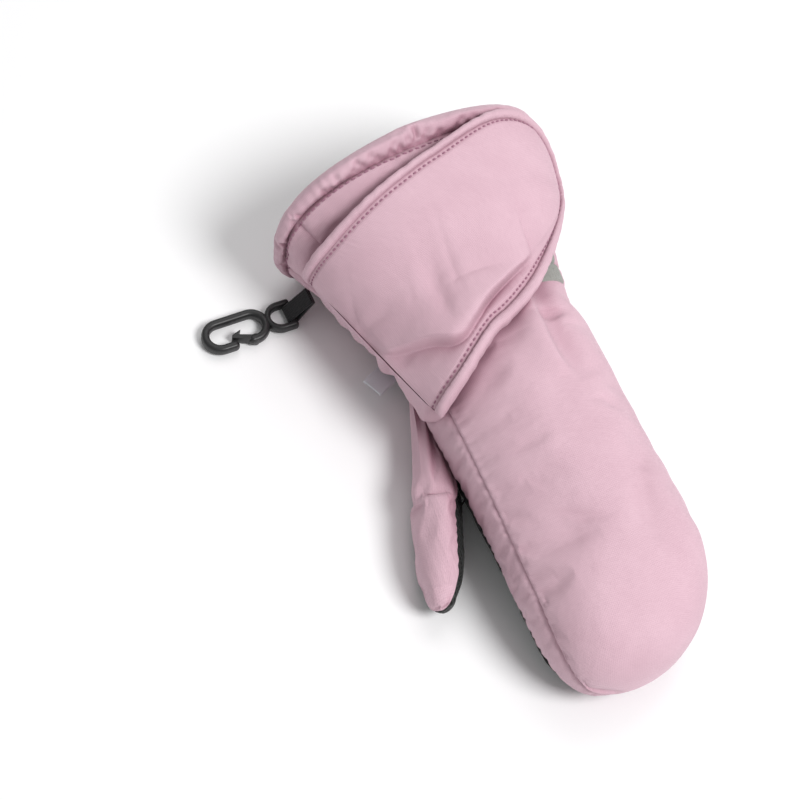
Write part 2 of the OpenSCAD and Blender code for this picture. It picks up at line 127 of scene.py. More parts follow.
def bodyPoint(y, side, lift, depth=0.0):
    # cross-section of the hand or cuff at y: x = side*reach*cos(lift)^(2/n), z by sectionHeight
    y, side, lift = np.broadcast_arrays(np.asarray(y, float), side, lift)
    s, c = np.sin(np.radians(lift)), np.abs(np.cos(np.radians(lift)))
    reach = np.where(side < 0, smoothKeys(thumbReach, y), smoothKeys(fingerReach, y)) - depth
    x = side * reach * c ** (2 / sectionRound(lift))
    height = smoothKeys(backHeight, y)
    drop = m["cuffSlant"] * np.maximum(0, y) / m["cuffLength"] * x / (m["cuffWidth"] / 2)
    return np.stack([x, y + drop, sectionHeight(s, height, height / 2, depth)], -1)


def tipPoint(turn, lift, depth=0.0):
    # finger end: a superellipse outline by turn, scaled inwards by the section's cos(lift)^(2/n)
    turn, lift = np.broadcast_arrays(np.asarray(turn, float), lift)
    s, c = np.sin(np.radians(lift)), np.abs(np.cos(np.radians(lift)))
    a = np.radians(turn)
    thumb = turn < 90
    n = np.where(thumb, m["thumbCorner"], m["fingerCorner"])
    reach = np.where(thumb, smoothKeys(thumbReach, tipY), smoothKeys(fingerReach, tipY))
    ox = np.where(thumb, -1, 1) * reach * np.abs(np.cos(a)) ** (2 / n)
    oy = -m["tipLength"] * np.abs(np.sin(a)) ** (2 / n)
    shrink = (1 - depth / np.hypot(ox, oy)) * c ** (2 / sectionRound(lift))
    height = smoothKeys(backHeight, tipY)
    sideZ = height / 2 * (1 - np.sin(a)) + m["tipHeight"] * np.sin(a)
    return np.stack([ox * shrink, tipY + oy * shrink, sectionHeight(s, height, sideZ, depth)], -1)


# grids of the sewn panels
panels = {
    "across": 64,  # cells from seam to seam over the back or the palm
    "side": 12,  # cells across the boxing strip
    "cuffRows": 30,
    "wristRows": 5,
    "thumbRows": 32,  # rows beside the thumb's hole
    "knuckleRows": 29,
    "tipRows": 30,
    "holeLow": 16,  # columns between the palm's centre line and the thumb's hole
    "wristY": -2.0,
    "holeNearY": -10.0,
    "holeFarY": -64.0,
}
p = panels
rowY = np.concatenate([np.linspace(m["cuffLength"], p["wristY"], p["cuffRows"], endpoint=False),
                       np.linspace(p["wristY"], p["holeNearY"], p["wristRows"], endpoint=False),
                       np.linspace(p["holeNearY"], p["holeFarY"], p["thumbRows"], endpoint=False),
                       np.linspace(p["holeFarY"], tipY, p["knuckleRows"] + 1)])
tipV = np.linspace(0, 1, p["tipRows"] + 1)[1:]
acrossU = np.linspace(-1, 1, p["across"] + 1)
wristRow = p["cuffRows"]
holeNearRow = wristRow + p["wristRows"]
holeFarRow = holeNearRow + p["thumbRows"]
lastRow = len(rowY) + len(tipV) - 1


def edgePlace(y, side):
    # place round the edge, 0 to 42, of a point on the thumb side (-1) or the finger side (1)
    near = np.interp(-np.asarray(y, float), -placeOfY[:, 0], placeOfY[:, 1])
    return np.where(side < 0, near, 42 - near)


def columnLift(u, place, panel):
    # even steps from the centre line to the seam, with a kink at the thumb hole's lower edge on the palm
    r = np.abs(u)
    if panel == "back":
        seam = evenLift(smoothKeys(backSeamKeys, place))
        return roundLift(90 - r * (90 - seam))
    low = smoothKeys(palmSeamKeys, place)
    seam, hole = evenLift(low), evenLift((low - 90) / 2)
    return roundLift(np.where(r < 0.5, -90 + 2 * r * (hole + 90), hole + (2 * r - 1) * (seam - hole)))


def stripLift(place):
    # even steps up the boxing strip, from the palm's seam to the back's
    w = np.linspace(0, 1, p["side"] + 1)
    low, high = evenLift(smoothKeys(palmSeamKeys, place)), evenLift(smoothKeys(backSeamKeys, place))
    return roundLift(low[..., None] + (high - low)[..., None] * w)


def onDisc(u, v):
    # a square laid on a disc: (u*sqrt(1-v^2/2), v*sqrt(1-u^2/2))
    return u * np.sqrt(1 - v * v / 2), v * np.sqrt(1 - u * u / 2)


def tipPlace(u, v):
    # the square on a half disc, then its direction as the superellipse's turn, and its radius
    cu, cv = onDisc(u, v)
    way = np.arctan2(cv, np.abs(cu))
    n = np.where(cu < 0, m["thumbCorner"], m["fingerCorner"])
    turn = np.degrees(np.arctan2(np.sin(way) ** (n / 2), np.abs(np.cos(way)) ** (n / 2)))
    return np.where(cu < 0, turn, 180 - turn), np.hypot(cu, cv)


def panelGrid(panel, depth=0.0):
    # straight rows by bodyPoint, then the finger end by tipPoint
    y, u = np.meshgrid(rowY, acrossU, indexing="ij")
    side = np.where(u < 0, -1, 1)
    straight = bodyPoint(y, side, columnLift(u, edgePlace(y, side), panel), depth)
    v, u = np.meshgrid(tipV, acrossU, indexing="ij")
    turn, r = tipPlace(u, v)
    tip = tipPoint(turn, columnLift(r, 15 + turn / 15, panel), depth)
    return np.concatenate([straight, tip])


def sideGrid(depth=0.0):
    # the boxing strip: along the panels' shared edge and up from the palm's seam to the back's
    u = np.concatenate([np.full(len(tipV), -1.0), acrossU[1:-1], np.full(len(tipV), 1.0)])
    v = np.concatenate([tipV, np.ones(len(acrossU) - 2), tipV[::-1]])
    turn, _ = tipPlace(u, v)
    tip = tipPoint(turn[:, None], stripLift(15 + turn / 15), depth)
    near, far = (bodyPoint(y[:, None], side, stripLift(edgePlace(y, side)), depth)
                 for y, side in ((rowY, -1), (rowY[::-1], 1)))
    return np.concatenate([near, tip, far])


# the thumb
thumb = {
    "length": 42,
    "width": 19,
    "height": 24,
    "angle": 21,
    "rootBow": 1.6,  # how late the root leaves the hand's side
    "round": 2.3,
    "start": 0.03,  # share of the length where the first ring lies
    "straight": 0.45,  # shares of the length before the end closes and while it closes
    "domed": 0.55,
    "dome": 2.4,  # power of the closing curve
    "rootRows": 18,  # rows from the hole's edge to the tube
    "tubeRows": 22,
    "capCells": 24,  # cells across the closed end
    "closeAt": 0.75,  # how far the tube is closed where the end's cap starts
    "loft": 0.45,  # the thumb's wadding and lining are this much thinner than the hand's
}
thumbTurn = np.radians(thumb["angle"])
thumbAxis = np.array([-np.sin(thumbTurn), -np.cos(thumbTurn), 0])
thumbSide = np.array([np.cos(thumbTurn), -np.sin(thumbTurn), 0])
thumbBase = np.array([-0.4 * m["handWidth"] - 9.6, p["holeFarY"] - 5, thumb["height"] / 2 + 0.4])
farCells = p["across"] // 2 - p["holeLow"]
ringAngle = np.concatenate([np.linspace(-50, 50, farCells, endpoint=False),
                            np.linspace(50, 135, p["thumbRows"], endpoint=False),
                            np.linspace(135, 225, farCells, endpoint=False),
                            np.linspace(225, 310, p["thumbRows"], endpoint=False)])


def signedPower(v, e):
    # sign(v) * |v|^e
    return np.sign(v) * np.abs(v) ** e


def domed(c):
    # (1-c^n)^(1/n), which is its own inverse
    return np.maximum(0, 1 - c ** thumb["dome"]) ** (1 / thumb["dome"])


def thumbPoint(step, angle, depth=0.0, closing=None):
    # superellipse rings along the axis, tapered, closed by (1-c^n)^(1/n) over the domed part
    step, angle = np.broadcast_arrays(np.asarray(step, float), angle)
    c = np.maximum(0, (step - thumb["straight"]) / thumb["domed"]) if closing is None else closing
    taper = (1 - 0.08 * step) * domed(c)
    d = depth if depth <= m["shell"] else m["shell"] + (depth - m["shell"]) * thumb["loft"]
    a = np.radians(angle)
    across = (thumb["width"] / 2 - d) * taper * signedPower(np.cos(a), 2 / thumb["round"])
    up = (thumb["height"] / 2 - d) * taper * signedPower(np.sin(a), 2 / thumb["round"])
    along = step * (thumb["length"] - d)
    return (thumbBase + thumbAxis * along[..., None] + thumbSide * across[..., None]
            + np.array([0, 0, 1.0]) * up[..., None])


# the palm's hole: its far edge, the seam edge, its near edge and its low edge
holeAt = (np.concatenate([np.full(farCells, holeFarRow), np.arange(holeFarRow, holeNearRow, -1),
                          np.full(farCells, holeNearRow), np.arange(holeNearRow, holeFarRow)]),
          np.concatenate([np.arange(p["holeLow"], 0, -1), np.zeros(p["thumbRows"], int),
                          np.arange(p["holeLow"]), np.full(p["thumbRows"], p["holeLow"])]))
holeTurn = (np.array([0.94, 0, 0]) - thumbSide * np.cos(np.radians(ringAngle))[:, None]
            - np.array([0, 0, 1.0]) * np.sin(np.radians(ringAngle))[:, None])
holeTurn /= np.linalg.norm(holeTurn, axis=1, keepdims=True)


def thumbGrids(palm, depth=0.0):
    # root rows mixed from the hole to the first ring, rings along the tube, and a square cap on a disc
    edge = palm[holeAt]
    first = thumbPoint(thumb["start"], ringAngle, depth)
    mix = smoothStep(np.linspace(0, 1, thumb["rootRows"], endpoint=False) * 0.9 + 0.05)
    mix = (mix - mix[0]) / (1 - mix[0])
    mix = np.stack([mix ** thumb["rootBow"], mix, mix], -1)
    root = edge + (first - edge) * mix[:, None, :]
    lastStep = thumb["straight"] + thumb["domed"] * thumb["closeAt"]
    steps = np.linspace(thumb["start"], lastStep, thumb["tubeRows"])
    tube = thumbPoint(steps[:, None], ringAngle, depth)
    half = thumb["capCells"] // 2
    corner = np.radians(45)  # even turns round the rim need sine spacing in the square
    a, b = np.meshgrid(np.sqrt(2) * np.sin(np.linspace(corner, -corner, 2 * half + 1)),
                       np.sqrt(2) * np.sin(np.linspace(0, corner, half + 1)), indexing="ij")
    ca, cb = onDisc(a, b)
    r = np.hypot(ca, cb)
    way = np.arctan2(cb, ca) / np.pi  # 0 to 1 over half the ring
    closing = domed(domed(thumb["closeAt"]) * r)
    count = len(ringAngle)
    order = np.concatenate([ringAngle, [310.0]])
    caps = []
    for start in (farCells, farCells + count // 2):  # pink half, then grip half
        k = (start + way * count / 2) % count
        angle = np.interp(k, np.arange(count + 1), order)
        caps.append(thumbPoint(thumb["straight"] + thumb["domed"] * closing, angle, depth, closing))
    return np.concatenate([root, tube]), caps


# settling the padding with Cloth
settling = {
    "scale": 10.0,  # simulated ten times larger, where Cloth behaves best
    "frames": 24,
    "quality": 6,
    "pressure": 1.1,
    "ease": -0.11,  # the loosest cloth, at the gathers, is cut this much larger than the form
    "seamPull": 0.015,  # the seams' threads draw in by this much
}
paddedCloth = {
    "mass": 0.4, "air_damping": 2.0, "tension_stiffness": 12.0, "compression_stiffness": 12.0,
    "shear_stiffness": 4.0, "bending_stiffness": 1.2, "tension_damping": 8.0, "compression_damping": 8.0,
    "shear_damping": 8.0, "bending_damping": 1.0, "pin_stiffness": 2.0, "use_pressure": True,
    "vertex_group_mass": "pins", "vertex_group_shrink": "seams",
}


def merged(points, digits):
    # points that round alike become one: the kept points' numbers, and each point's place among them
    _, first, back = np.unique(np.round(points, digits), axis=0, return_index=True, return_inverse=True)
    return first, back.reshape(-1)


def weld(grids):
    # one list of points for all grids; points closer than a thousandth of a millimetre are one
    points = np.concatenate([g.reshape(-1, 3) for g in grids])
    first, back = merged(points, 3)
    ids, at = [], 0
    for g in grids:
        size = g.shape[0] * g.shape[1]
        ids.append(back[at:at + size].reshape(g.shape[:2]))
        at += size
    return points[first], ids


def cellsOf(ids):
    # the four corners of every cell of a grid of point numbers
    quads = np.stack([ids[:-1, :-1], ids[1:, :-1], ids[1:, 1:], ids[:-1, 1:]], -1)
    return quads.reshape(-1, 4)


def realCells(faces):
    # the cells left when two corners in a row are not the same point
    return faces[(faces != np.roll(faces, 1, 1)).all(1)]


def newMesh(name, points, faces):
    # a mesh of the points and faces as they are
    mesh = bpy.data.meshes.new(name)
    mesh.from_pydata(points.tolist(), [], faces.tolist())
    mesh.update()
    return mesh


def addObject(name, data):
    # an object in the scene that shows the data, at the origin
    obj = bpy.data.objects.new(name, data)
    scene.collection.objects.link(obj)
    return obj


def settle(name, points, faces, pinned, pull, cap, values):
    # Cloth inflates the welded panels; every move is softly capped: d * cap/|d| * tanh(|d|/cap)
    scale = values["scale"] * 0.001
    obj = addObject(name, newMesh(name, points * scale, faces))
    pins = obj.vertex_groups.new(name="pins")
    pins.add(np.flatnonzero(pinned).tolist(), 1.0, "REPLACE")
    seams = obj.vertex_groups.new(name="seams")
    for level in np.unique(pull[pull > 0]):
        seams.add(np.flatnonzero(pull == level).tolist(), float(level), "REPLACE")
    cloth = obj.modifiers.new("cloth", "CLOTH")
    s = cloth.settings
    for key, value in paddedCloth.items():
        setattr(s, key, value)
    s.quality = values["quality"]
    s.shrink_min = values["ease"]
    s.shrink_max = values["seamPull"]
    s.uniform_pressure_force = values["pressure"]
    s.effector_weights.gravity = 0.0
    cloth.collision_settings.use_collision = False
    cloth.collision_settings.use_self_collision = False
    cloth.point_cache.frame_start = 1
    cloth.point_cache.frame_end = values["frames"]
    for f in range(1, values["frames"] + 1):
        scene.frame_set(f)
    done = obj.evaluated_get(bpy.context.evaluated_depsgraph_get()).to_mesh()
    moved = np.empty(len(points) * 3, np.float32)
    done.vertices.foreach_get("co", moved)
    moved = moved.reshape(-1, 3) / scale
    bpy.data.objects.remove(obj)
    scene.frame_set(1)
    d = np.nan_to_num(moved - points)
    size = np.linalg.norm(d, axis=1, keepdims=True) + 1e-9
    print(f"{name}: moved {np.median(size):.2f} mm in the middle, {size.max():.2f} mm at most")
    return points + d / size * cap[:, None] * np.tanh(size / cap[:, None])


# finer grids, folds and meshes
def spline(values, count, axis):
    # Catmull-Rom through the samples along one axis, at evenly spaced places
    v = np.moveaxis(values, axis, 0)
    n = len(v)
    x = np.linspace(0, n - 1, count)
    k = np.minimum(x.astype(int), n - 2)
    f = (x - k).reshape((-1,) + (1,) * (v.ndim - 1))
    before = np.concatenate([2 * v[:1] - v[1:2], v, 2 * v[-1:] - v[-2:-1]])
    a, b, c, d = before[k], before[k + 1], before[k + 2], before[k + 3]
    out = b + 0.5 * f * (c - a + f * (2 * a - 5 * b + 4 * c - d + f * (3 * (b - c) + d - a)))
    return np.moveaxis(out, 0, axis)


def finer(grid, times=2):
    # the spline both ways, with so many cells for each one
    rows, columns = grid.shape[:2]
    return spline(spline(grid, (rows - 1) * times + 1, 0), (columns - 1) * times + 1, 1)


def gridNormals(grid, outward=1):
    # cross product of the two directions of the grid
    du, dv = np.gradient(grid, axis=0), np.gradient(grid, axis=1)
    n = np.cross(du, dv) * outward
    return n / (np.linalg.norm(n, axis=-1, keepdims=True) + 1e-9)


def arcLengths(grid, axis, zeroAt=None):
    # running length along one direction of the grid
    step = np.linalg.norm(np.diff(grid, axis=axis), axis=-1)
    run = np.concatenate([np.zeros_like(np.take(step, [0], axis)), np.cumsum(step, axis)], axis)
    if zeroAt is not None:
        run = run - np.take(run, [zeroAt], axis)
    return run


def pathRun(path):
    # running length along a path
    return np.concatenate([[0], np.cumsum(np.linalg.norm(np.diff(path, axis=0), axis=1))])


def alongPath(values, run, at):
    # values known at the running lengths, read between them
    return np.stack([np.interp(at, run, values[:, k]) for k in range(values.shape[1])], -1)


def unit(v):
    # each vector at length one
    return v / np.linalg.norm(v, axis=-1, keepdims=True)


def edgeDistance(grid, sides):
    # distance along the grid to the nearest of the named edges: 0 first row, 1 last row, 2 and 3 columns
    far = np.full(grid.shape[:2], 1e3)
    down, along = arcLengths(grid, 0), arcLengths(grid, 1)
    for s, d in ((0, down), (1, down[-1:] - down), (2, along), (3, along[:, -1:] - along)):
        if s in sides:
            far = np.minimum(far, d)
    return far


fullTurn = 6.283  # radians


def waves(x, seed):
    # a sum of five sines with seeded lengths and phases, about 1 high
    rng = np.random.default_rng(seed)
    out = 0
    for k in range(5):
        out = out + np.sin(x * (0.6 + 0.35 * k + 0.3 * rng.random()) + rng.random() * fullTurn) / 5
    return out * 1.6


def toMetres(points):
    # from the spine's frame in millimetres to the object's in metres
    return (points + np.array(m["origin"])) * 0.001


def finishPiece(name, mesh, material, bodyName, slotName, nodes=()):
    # smooth, dressed in its material, riding its body and standing for its CAD nodes
    mesh.polygons.foreach_set("use_smooth", np.full(len(mesh.polygons), True))
    mesh.materials.append(material)
    obj = addObject(name, mesh)
    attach(obj, bodyName)
    if nodes:
        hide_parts(*nodes)
    return obj


def meshPiece(name, parts, slotName, *nodes, bodyName="mitten"):
    # parts are (grid, way, uv): points in mm, 1 or -1 for the side that faces out, and cloth coordinates
    points, faces, uvs, at = [], [], [], 0
    for grid, way, uv in parts:
        quads = cellsOf(np.arange(grid.shape[0] * grid.shape[1]).reshape(grid.shape[:2]) + at)
        points.append(toMetres(grid.reshape(-1, 3)))
        uvs.append(uv.reshape(-1, 2))
        faces.append(quads[:, ::-1] if way < 0 else quads)
        at += len(points[-1])
    points, faces, uvs = np.concatenate(points), np.concatenate(faces), np.concatenate(uvs)
    first, back = merged(points, 7)
    welded = back[faces]
    good = (welded != np.roll(welded, 1, 1)).all(1)
    mesh = newMesh(name, points[first], welded[good])
    layer = mesh.uv_layers.new(name="cloth")
    layer.data.foreach_set("uv", uvs[faces[good]].reshape(-1).astype(np.float32))
    return finishPiece(name, mesh, materials[slotName], bodyName, slotName, nodes)


def clothUv(grid, centreColumn=None, startRow=0):
    # running lengths across and along, in millimetres, from one column and one row
    across = arcLengths(grid, 1, grid.shape[1] // 2 if centreColumn is None else centreColumn)
    along = arcLengths(grid, 0, startRow)
    return np.stack([across, along], -1)


def part(grid, way):
    # a grid with its own running lengths as cloth coordinates
    return grid, way, clothUv(grid)


def facing(grid, centre):
    # 1 if the grid's normals point away from the centre, else -1
    n = gridNormals(grid)
    return 1 if np.mean(np.sum(n * (grid - np.array(centre, float)), -1)) > 0 else -1


# finishes
def node(tree, kind, links=None, **settings):
    # a shader node; a socket is linked to an input, and any other value is set on it
    n = tree.nodes.new(kind)
    for key, value in settings.items():
        setattr(n, key, value)
    for key, value in (links or {}).items():
        if isinstance(value, bpy.types.NodeSocket):
            tree.links.new(value, n.inputs[key])
        else:
            n.inputs[key].default_value = value
    return n


def calc(operation, *values):
    # one Math node, in the tree of the first socket among the values
    tree = next(v for v in values if isinstance(v, bpy.types.NodeSocket)).id_data
    return node(tree, "ShaderNodeMath", dict(enumerate(values)), operation=operation).outputs[0]


def scaledSum(a, b, *factors):
    # a and b, each multiplied by its factor, added
    a, b = (calc("MULTIPLY", v, f) for v, f in zip((a, b), factors))
    return calc("ADD", a, b)


def ribs(x, turns):
    # |sin(x * turns)|
    return calc("ABSOLUTE", calc("SINE", calc("MULTIPLY", x, turns)))


def noise(at, scale, detail, **more):
    # a Noise Texture read at the coordinates
    links = {"Vector": at, "Scale": scale, "Detail": detail, **more}
    return node(at.id_data, "ShaderNodeTexNoise", links).outputs[0]


def blend(a, b, factor):
    # from colour a at 0 to colour b at 1
    a, b = (v if isinstance(v, bpy.types.NodeSocket) else (*v, 1) for v in (a, b))
    return node(factor.id_data, "ShaderNodeMix", {0: factor, 6: a, 7: b}, data_type="RGBA").outputs[2]


def startMaterial(name, roughness, specular, **sheen):
    # a material, its tree, and a function that links a colour, a roughness or bumps to its shader
    mat = bpy.data.materials.new(name)
    mat.use_nodes = True
    tree = mat.node_tree
    shader = tree.nodes["Principled BSDF"]
    shader.inputs["Roughness"].default_value = roughness
    shader.inputs["Specular IOR Level"].default_value = specular
    for key, value in sheen.items():
        shader.inputs["Sheen " + key].default_value = value

    def dress(colour, *bumps, rough=None):
        # bumps are (height socket, strength, distance in metres), one on another
        tree.links.new(colour, shader.inputs["Base Color"])
        normal = {}
        for height, strength, distance in bumps:
            links = {"Height": height, "Strength": strength, "Distance": distance, **normal}
            normal = {"Normal": node(tree, "ShaderNodeBump", links).outputs[0]}
        tree.links.new(normal["Normal"], shader.inputs["Normal"])
        if rough is not None:
            tree.links.new(rough, shader.inputs["Roughness"])
        return mat
    return tree, dress


def clothCoords(tree):
    # the piece's cloth coordinates in millimetres: both, across and along
    uv = node(tree, "ShaderNodeUVMap", uv_map="cloth").outputs[0]
    xyz = node(tree, "ShaderNodeSeparateXYZ", {0: uv})
    return uv, xyz.outputs[0], xyz.outputs[1]


def wovenHeight(x, y, pitch):
    # plain weave: |sin| ridges of the warp and the weft in turn, as a chequer says which is on top
    px, py = calc("DIVIDE", x, pitch), calc("DIVIDE", y, pitch)
    over = calc("FLOORED_MODULO", calc("ADD", calc("FLOOR", px), calc("FLOOR", py)), 2.0)
    return scaledSum(ribs(px, np.pi), ribs(py, np.pi), over, calc("SUBTRACT", 1.0, over))


canvas = {
    "light": (0.74, 0.505, 0.58),
    "deep": (0.57, 0.355, 0.425),
    # painted shade: the next colour is what the cloth darkens to in creases and hollows, where an Ambient
    # Occlusion node finds other cloth within the reach below, in metres
    "creaseShade": (0.3, 0.115, 0.17),
    "creaseReach": 0.014,  # metres
    "pitch": 0.7,  # millimetres between threads
    "roughness": 0.82,
    "sheen": 0.35,
    "sheenTint": (1.0, 0.86, 0.92, 1),
}


def canvasMaterial(name, values):
    # woven nylon: plain weave, slubs along the threads, soft mottling and fine crumples, with painted shade
    # darkening the creases where an Ambient Occlusion node finds cloth close by
    tree, dress = startMaterial(name, values["roughness"], 0.3, Weight=values["sheen"], Roughness=0.45,
                                Tint=values["sheenTint"])
    uv, x, y = clothCoords(tree)
    weave = wovenHeight(x, y, values["pitch"])
    slub = noise(node(tree, "ShaderNodeMapping", {"Vector": uv, "Scale": (0.25, 2.4, 1)}).outputs[0],
                 1.0, 2.0)
    mottle = calc("SUBTRACT", noise(uv, 0.05, 3.0), 0.5)
    shade = calc("ADD", scaledSum(weave, slub, 0.55, 0.55), calc("MULTIPLY", mottle, 0.7))
    # painted shade: an Ambient Occlusion node finds cloth close by, and the colour is darkened towards the
    # crease colour there
    near = node(tree, "ShaderNodeAmbientOcclusion",
                {"Distance": values["creaseReach"]}, samples=8).outputs["AO"]
    cloth = blend(values["deep"], values["light"], shade)
    cloth = blend(values["creaseShade"], cloth, calc("POWER", near, 1.3))
    return dress(cloth, (noise(uv, 0.16, 5.0, Roughness=0.6), 0.35, 0.0012), (weave, 0.5, 0.00012))


grip = {
    "net": (0.017, 0.019, 0.018),
    "dot": (0.004, 0.0045, 0.0043),
    "pitch": 1.9,  # millimetres between the pressed dots
}


def gripMaterial(name, values):
    # coated fabric pressed with dots in a hexagonal net: the nearer of two offset lattices
    tree, dress = startMaterial(name, 0.5, 0.45, Weight=0.06, Roughness=0.4)
    uv, x, y = clothCoords(tree)
    px, py = calc("DIVIDE", x, values["pitch"]), calc("DIVIDE", y, values["pitch"] * np.sqrt(3))

    def lattice(shift):
        # distance to the middle of the lattice's own cell: (dx^2+dy^2)^(1/2)
        dx, dy = (calc("SUBTRACT", calc("FRACT", calc("ADD", v, shift)), 0.5) for v in (px, py))
        dy = calc("MULTIPLY", dy, np.sqrt(3) * 0.8)
        return calc("SQRT", scaledSum(dx, dy, dx, dy))
    away = calc("MINIMUM", lattice(100.0), lattice(100.5))
    dot = node(tree, "ShaderNodeMapRange", {0: away, 1: 0.2, 2: 0.36, 3: 0.0, 4: 1.0},
               interpolation_type="SMOOTHSTEP").outputs[0]
    bumps = (noise(uv, 0.12, 3.0), 0.3, 0.001), (dot, 0.9, 0.00035), (noise(uv, 3.0, 2.0), 0.25, 0.00008)
    rough = calc("ADD", calc("MULTIPLY", dot, -0.14), 0.62)
    # painted shade: the pressed dots are coloured darker than the raised net, for the shade in their recesses
    return dress(blend(values["dot"], values["net"], dot), *bumps, rough=rough)


def fuzzyMaterial(name, light, deep, scale, strength, distance, roughness=0.95, sheen=0.4):
    # pile or fill: two noises at one and at four times the scale, as colour and as bump
    tree, dress = startMaterial(name, roughness, 0.15, Weight=sheen, Roughness=0.6)
    at = node(tree, "ShaderNodeTexCoord").outputs["Object"]
    fine = noise(at, scale * 4, 5.0, Roughness=0.7)
    both = calc("MULTIPLY", calc("ADD", noise(at, scale, 3.0), fine), 0.5)
    return dress(blend(deep, light, both), (both, strength, distance))


def ribbedMaterial(name, light, deep, pitch, roughness=0.7, along=0, distance=0.0003):
    # woven tape: ribs across one cloth direction, crossed by a finer thread
    tree, dress = startMaterial(name, roughness, 0.3, Weight=0.15)
    xy = clothCoords(tree)[1:]
    height = scaledSum(ribs(xy[along], np.pi / pitch), ribs(xy[1 - along], np.pi / (pitch * 0.45)), 0.7, 0.3)
    return dress(blend(deep, light, height), (height, 0.7, distance))


def plasticMaterial(name, colour, roughness):
    # moulded plastic: fine spark texture and slightly uneven gloss
    tree, dress = startMaterial(name, roughness, 0.5)
    at = node(tree, "ShaderNodeTexCoord").outputs["Object"]
    grain = noise(at, 2600.0, 2.0)
    gloss = calc("ADD", calc("MULTIPLY", noise(at, 160.0, 2.0), 0.2), roughness - 0.1)
    return dress(blend(colour, tuple(c * 1.9 + 0.004 for c in colour), grain),
                 (grain, 0.25, 0.00004), rough=gloss)


materials = {
    "shell_canvas": canvasMaterial("pinkCanvas", canvas),
    "grip_fabric": gripMaterial("blackGrip", grip),
    "fleece_lining": fuzzyMaterial("fleece", (0.62, 0.59, 0.57), (0.4, 0.37, 0.355), 320, 0.8, 0.0009),
    "wadding": fuzzyMaterial("fill", (0.92, 0.91, 0.88), (0.72, 0.71, 0.68), 120, 0.8, 0.002),
    "membrane_film": fuzzyMaterial("film", (0.78, 0.83, 0.86), (0.66, 0.72, 0.76),
                                   60, 0.3, 0.0005, 0.35, 0.0),
    "loop_tape": fuzzyMaterial("loopPile", (0.42, 0.42, 0.39), (0.2, 0.2, 0.18), 900, 1.0, 0.0006),
    "hook_tape": fuzzyMaterial("hookPile", (0.34, 0.34, 0.31), (0.15, 0.15, 0.14), 1300, 1.0, 0.0007),
    "elastic_band": ribbedMaterial("elasticWeave", (0.85, 0.85, 0.83), (0.55, 0.55, 0.53), 1.1),
    "webbing": ribbedMaterial("tapeWeave", (0.03, 0.03, 0.032), (0.008, 0.008, 0.009), 0.9),
    "label_tape": ribbedMaterial("labelWeave", (0.82, 0.84, 0.88), (0.68, 0.7, 0.75), 0.35, 0.45, 1, 0.00006),
    "clip_plastic": plasticMaterial("blackPlastic", (0.009, 0.009, 0.0095), 0.4),
}
# the stitches' thread is coloured much darker than the canvas: partly its own pink, partly painted shade for
# the dips and holes along the stitch lines
threadPink = fuzzyMaterial("threadPink", (0.4, 0.19, 0.27), (0.32, 0.14, 0.21), 1500, 0.6, 0.0001, 0.6, 0.2)
print("finishes ready")


# the shell: settle all its panels together
hem = {
    "roll": [(0, 0), (-1.3, 0.8), (-1.8, 2.6), (-1.9, 4.8), (-1.3, 7.0), (0.2, 8.8), (2.4, 9.8), (4.6, 10.0),
             (6.8, 9.6), (8.7, 8.2), (9.6, 6.0), (9.7, 3.4), (9.0, 0.6)],  # depth, and place along the cuff
    "clear": 0.02,  # least height over the floor
}


def hemGrid():
    # round the cuff: over the back, down the far strip, under the palm, up the near strip; rolled by depths
    y = m["cuffLength"]
    side = np.where(acrossU < 0, -1, 1)
    over, under = (columnLift(acrossU, edgePlace(y, side), panel) for panel in ("back", "palm"))
    far, near = (stripLift(edgePlace(y, side)) for side in (1, -1))
    ones = np.ones(p["side"], int)
    sides = np.concatenate([side, ones, side[-2::-1], -ones])
    lifts = np.concatenate([over, far[-2::-1], under[-2::-1], near[1:]])
    grid = np.stack([bodyPoint(y, sides, lifts, out) + np.array([0, along, 0])
                     for out, along in hem["roll"]], 1)
    grid[:, 1:, 2] = np.maximum(grid[:, 1:, 2], hem["clear"])
    return grid


backRaw, palmRaw, sideRaw, hemRaw = panelGrid("back"), panelGrid("palm"), sideGrid(), hemGrid()
tubeRaw, capsRaw = thumbGrids(palmRaw)
tubeRaw = np.concatenate([tubeRaw, tubeRaw[:, :1]], 1)
shellPoints, shellIds = weld([backRaw, palmRaw, sideRaw, hemRaw, tubeRaw, *capsRaw])
backIds, palmIds, sideIds, hemIds, tubeIds, *capIds = shellIds
palmCells = np.stack([palmIds[:-1, :-1], palmIds[1:, :-1], palmIds[1:, 1:], palmIds[:-1, 1:]], -1)
inHole = np.zeros(palmCells.shape[:2], bool)
inHole[holeNearRow:holeFarRow, :p["holeLow"]] = True
faces = realCells(np.concatenate([cellsOf(backIds), palmCells[~inHole][:, ::-1],
                                  cellsOf(sideIds), cellsOf(hemIds)]
                                 + [cellsOf(ids)[:, ::-1] for ids in (tubeIds, *capIds)]))
print(f"shell: {len(np.unique(faces))} points, {len(faces)} cells")

flapShape = {
    "hingeTop": (-50.5, 33, 30),
    "hingeLow": (-31, -48, 42),
    "hingeGap": 0.8,
    "middle": 24,  # the line that the rounded end closes on
    "endLift": 16,
    "lift": 2.9,
    "thickness": 4.0,
    "fabric": 0.7,
    "binding": 4.0,
    "round": 2.3,
    "upper": [[0, 35], [0.25, 33], [0.5, 40], [0.75, 51], [1, 52]],
    "lower": [[0, -49], [0.25, -41], [0.5, -26], [0.75, -8], [1, 8]],
    "straightShare": 0.6,  # shares of the flap's length before its rounded end and in it
    "endShare": 0.4,
    "straightRows": 42,  # cells along the straight part, the rounded end and across
    "endRows": 28,
    "across": 44,
}
fl = flapShape
hingeTop, hingeLow = np.array(fl["hingeTop"], float), np.array(fl["hingeLow"], float)


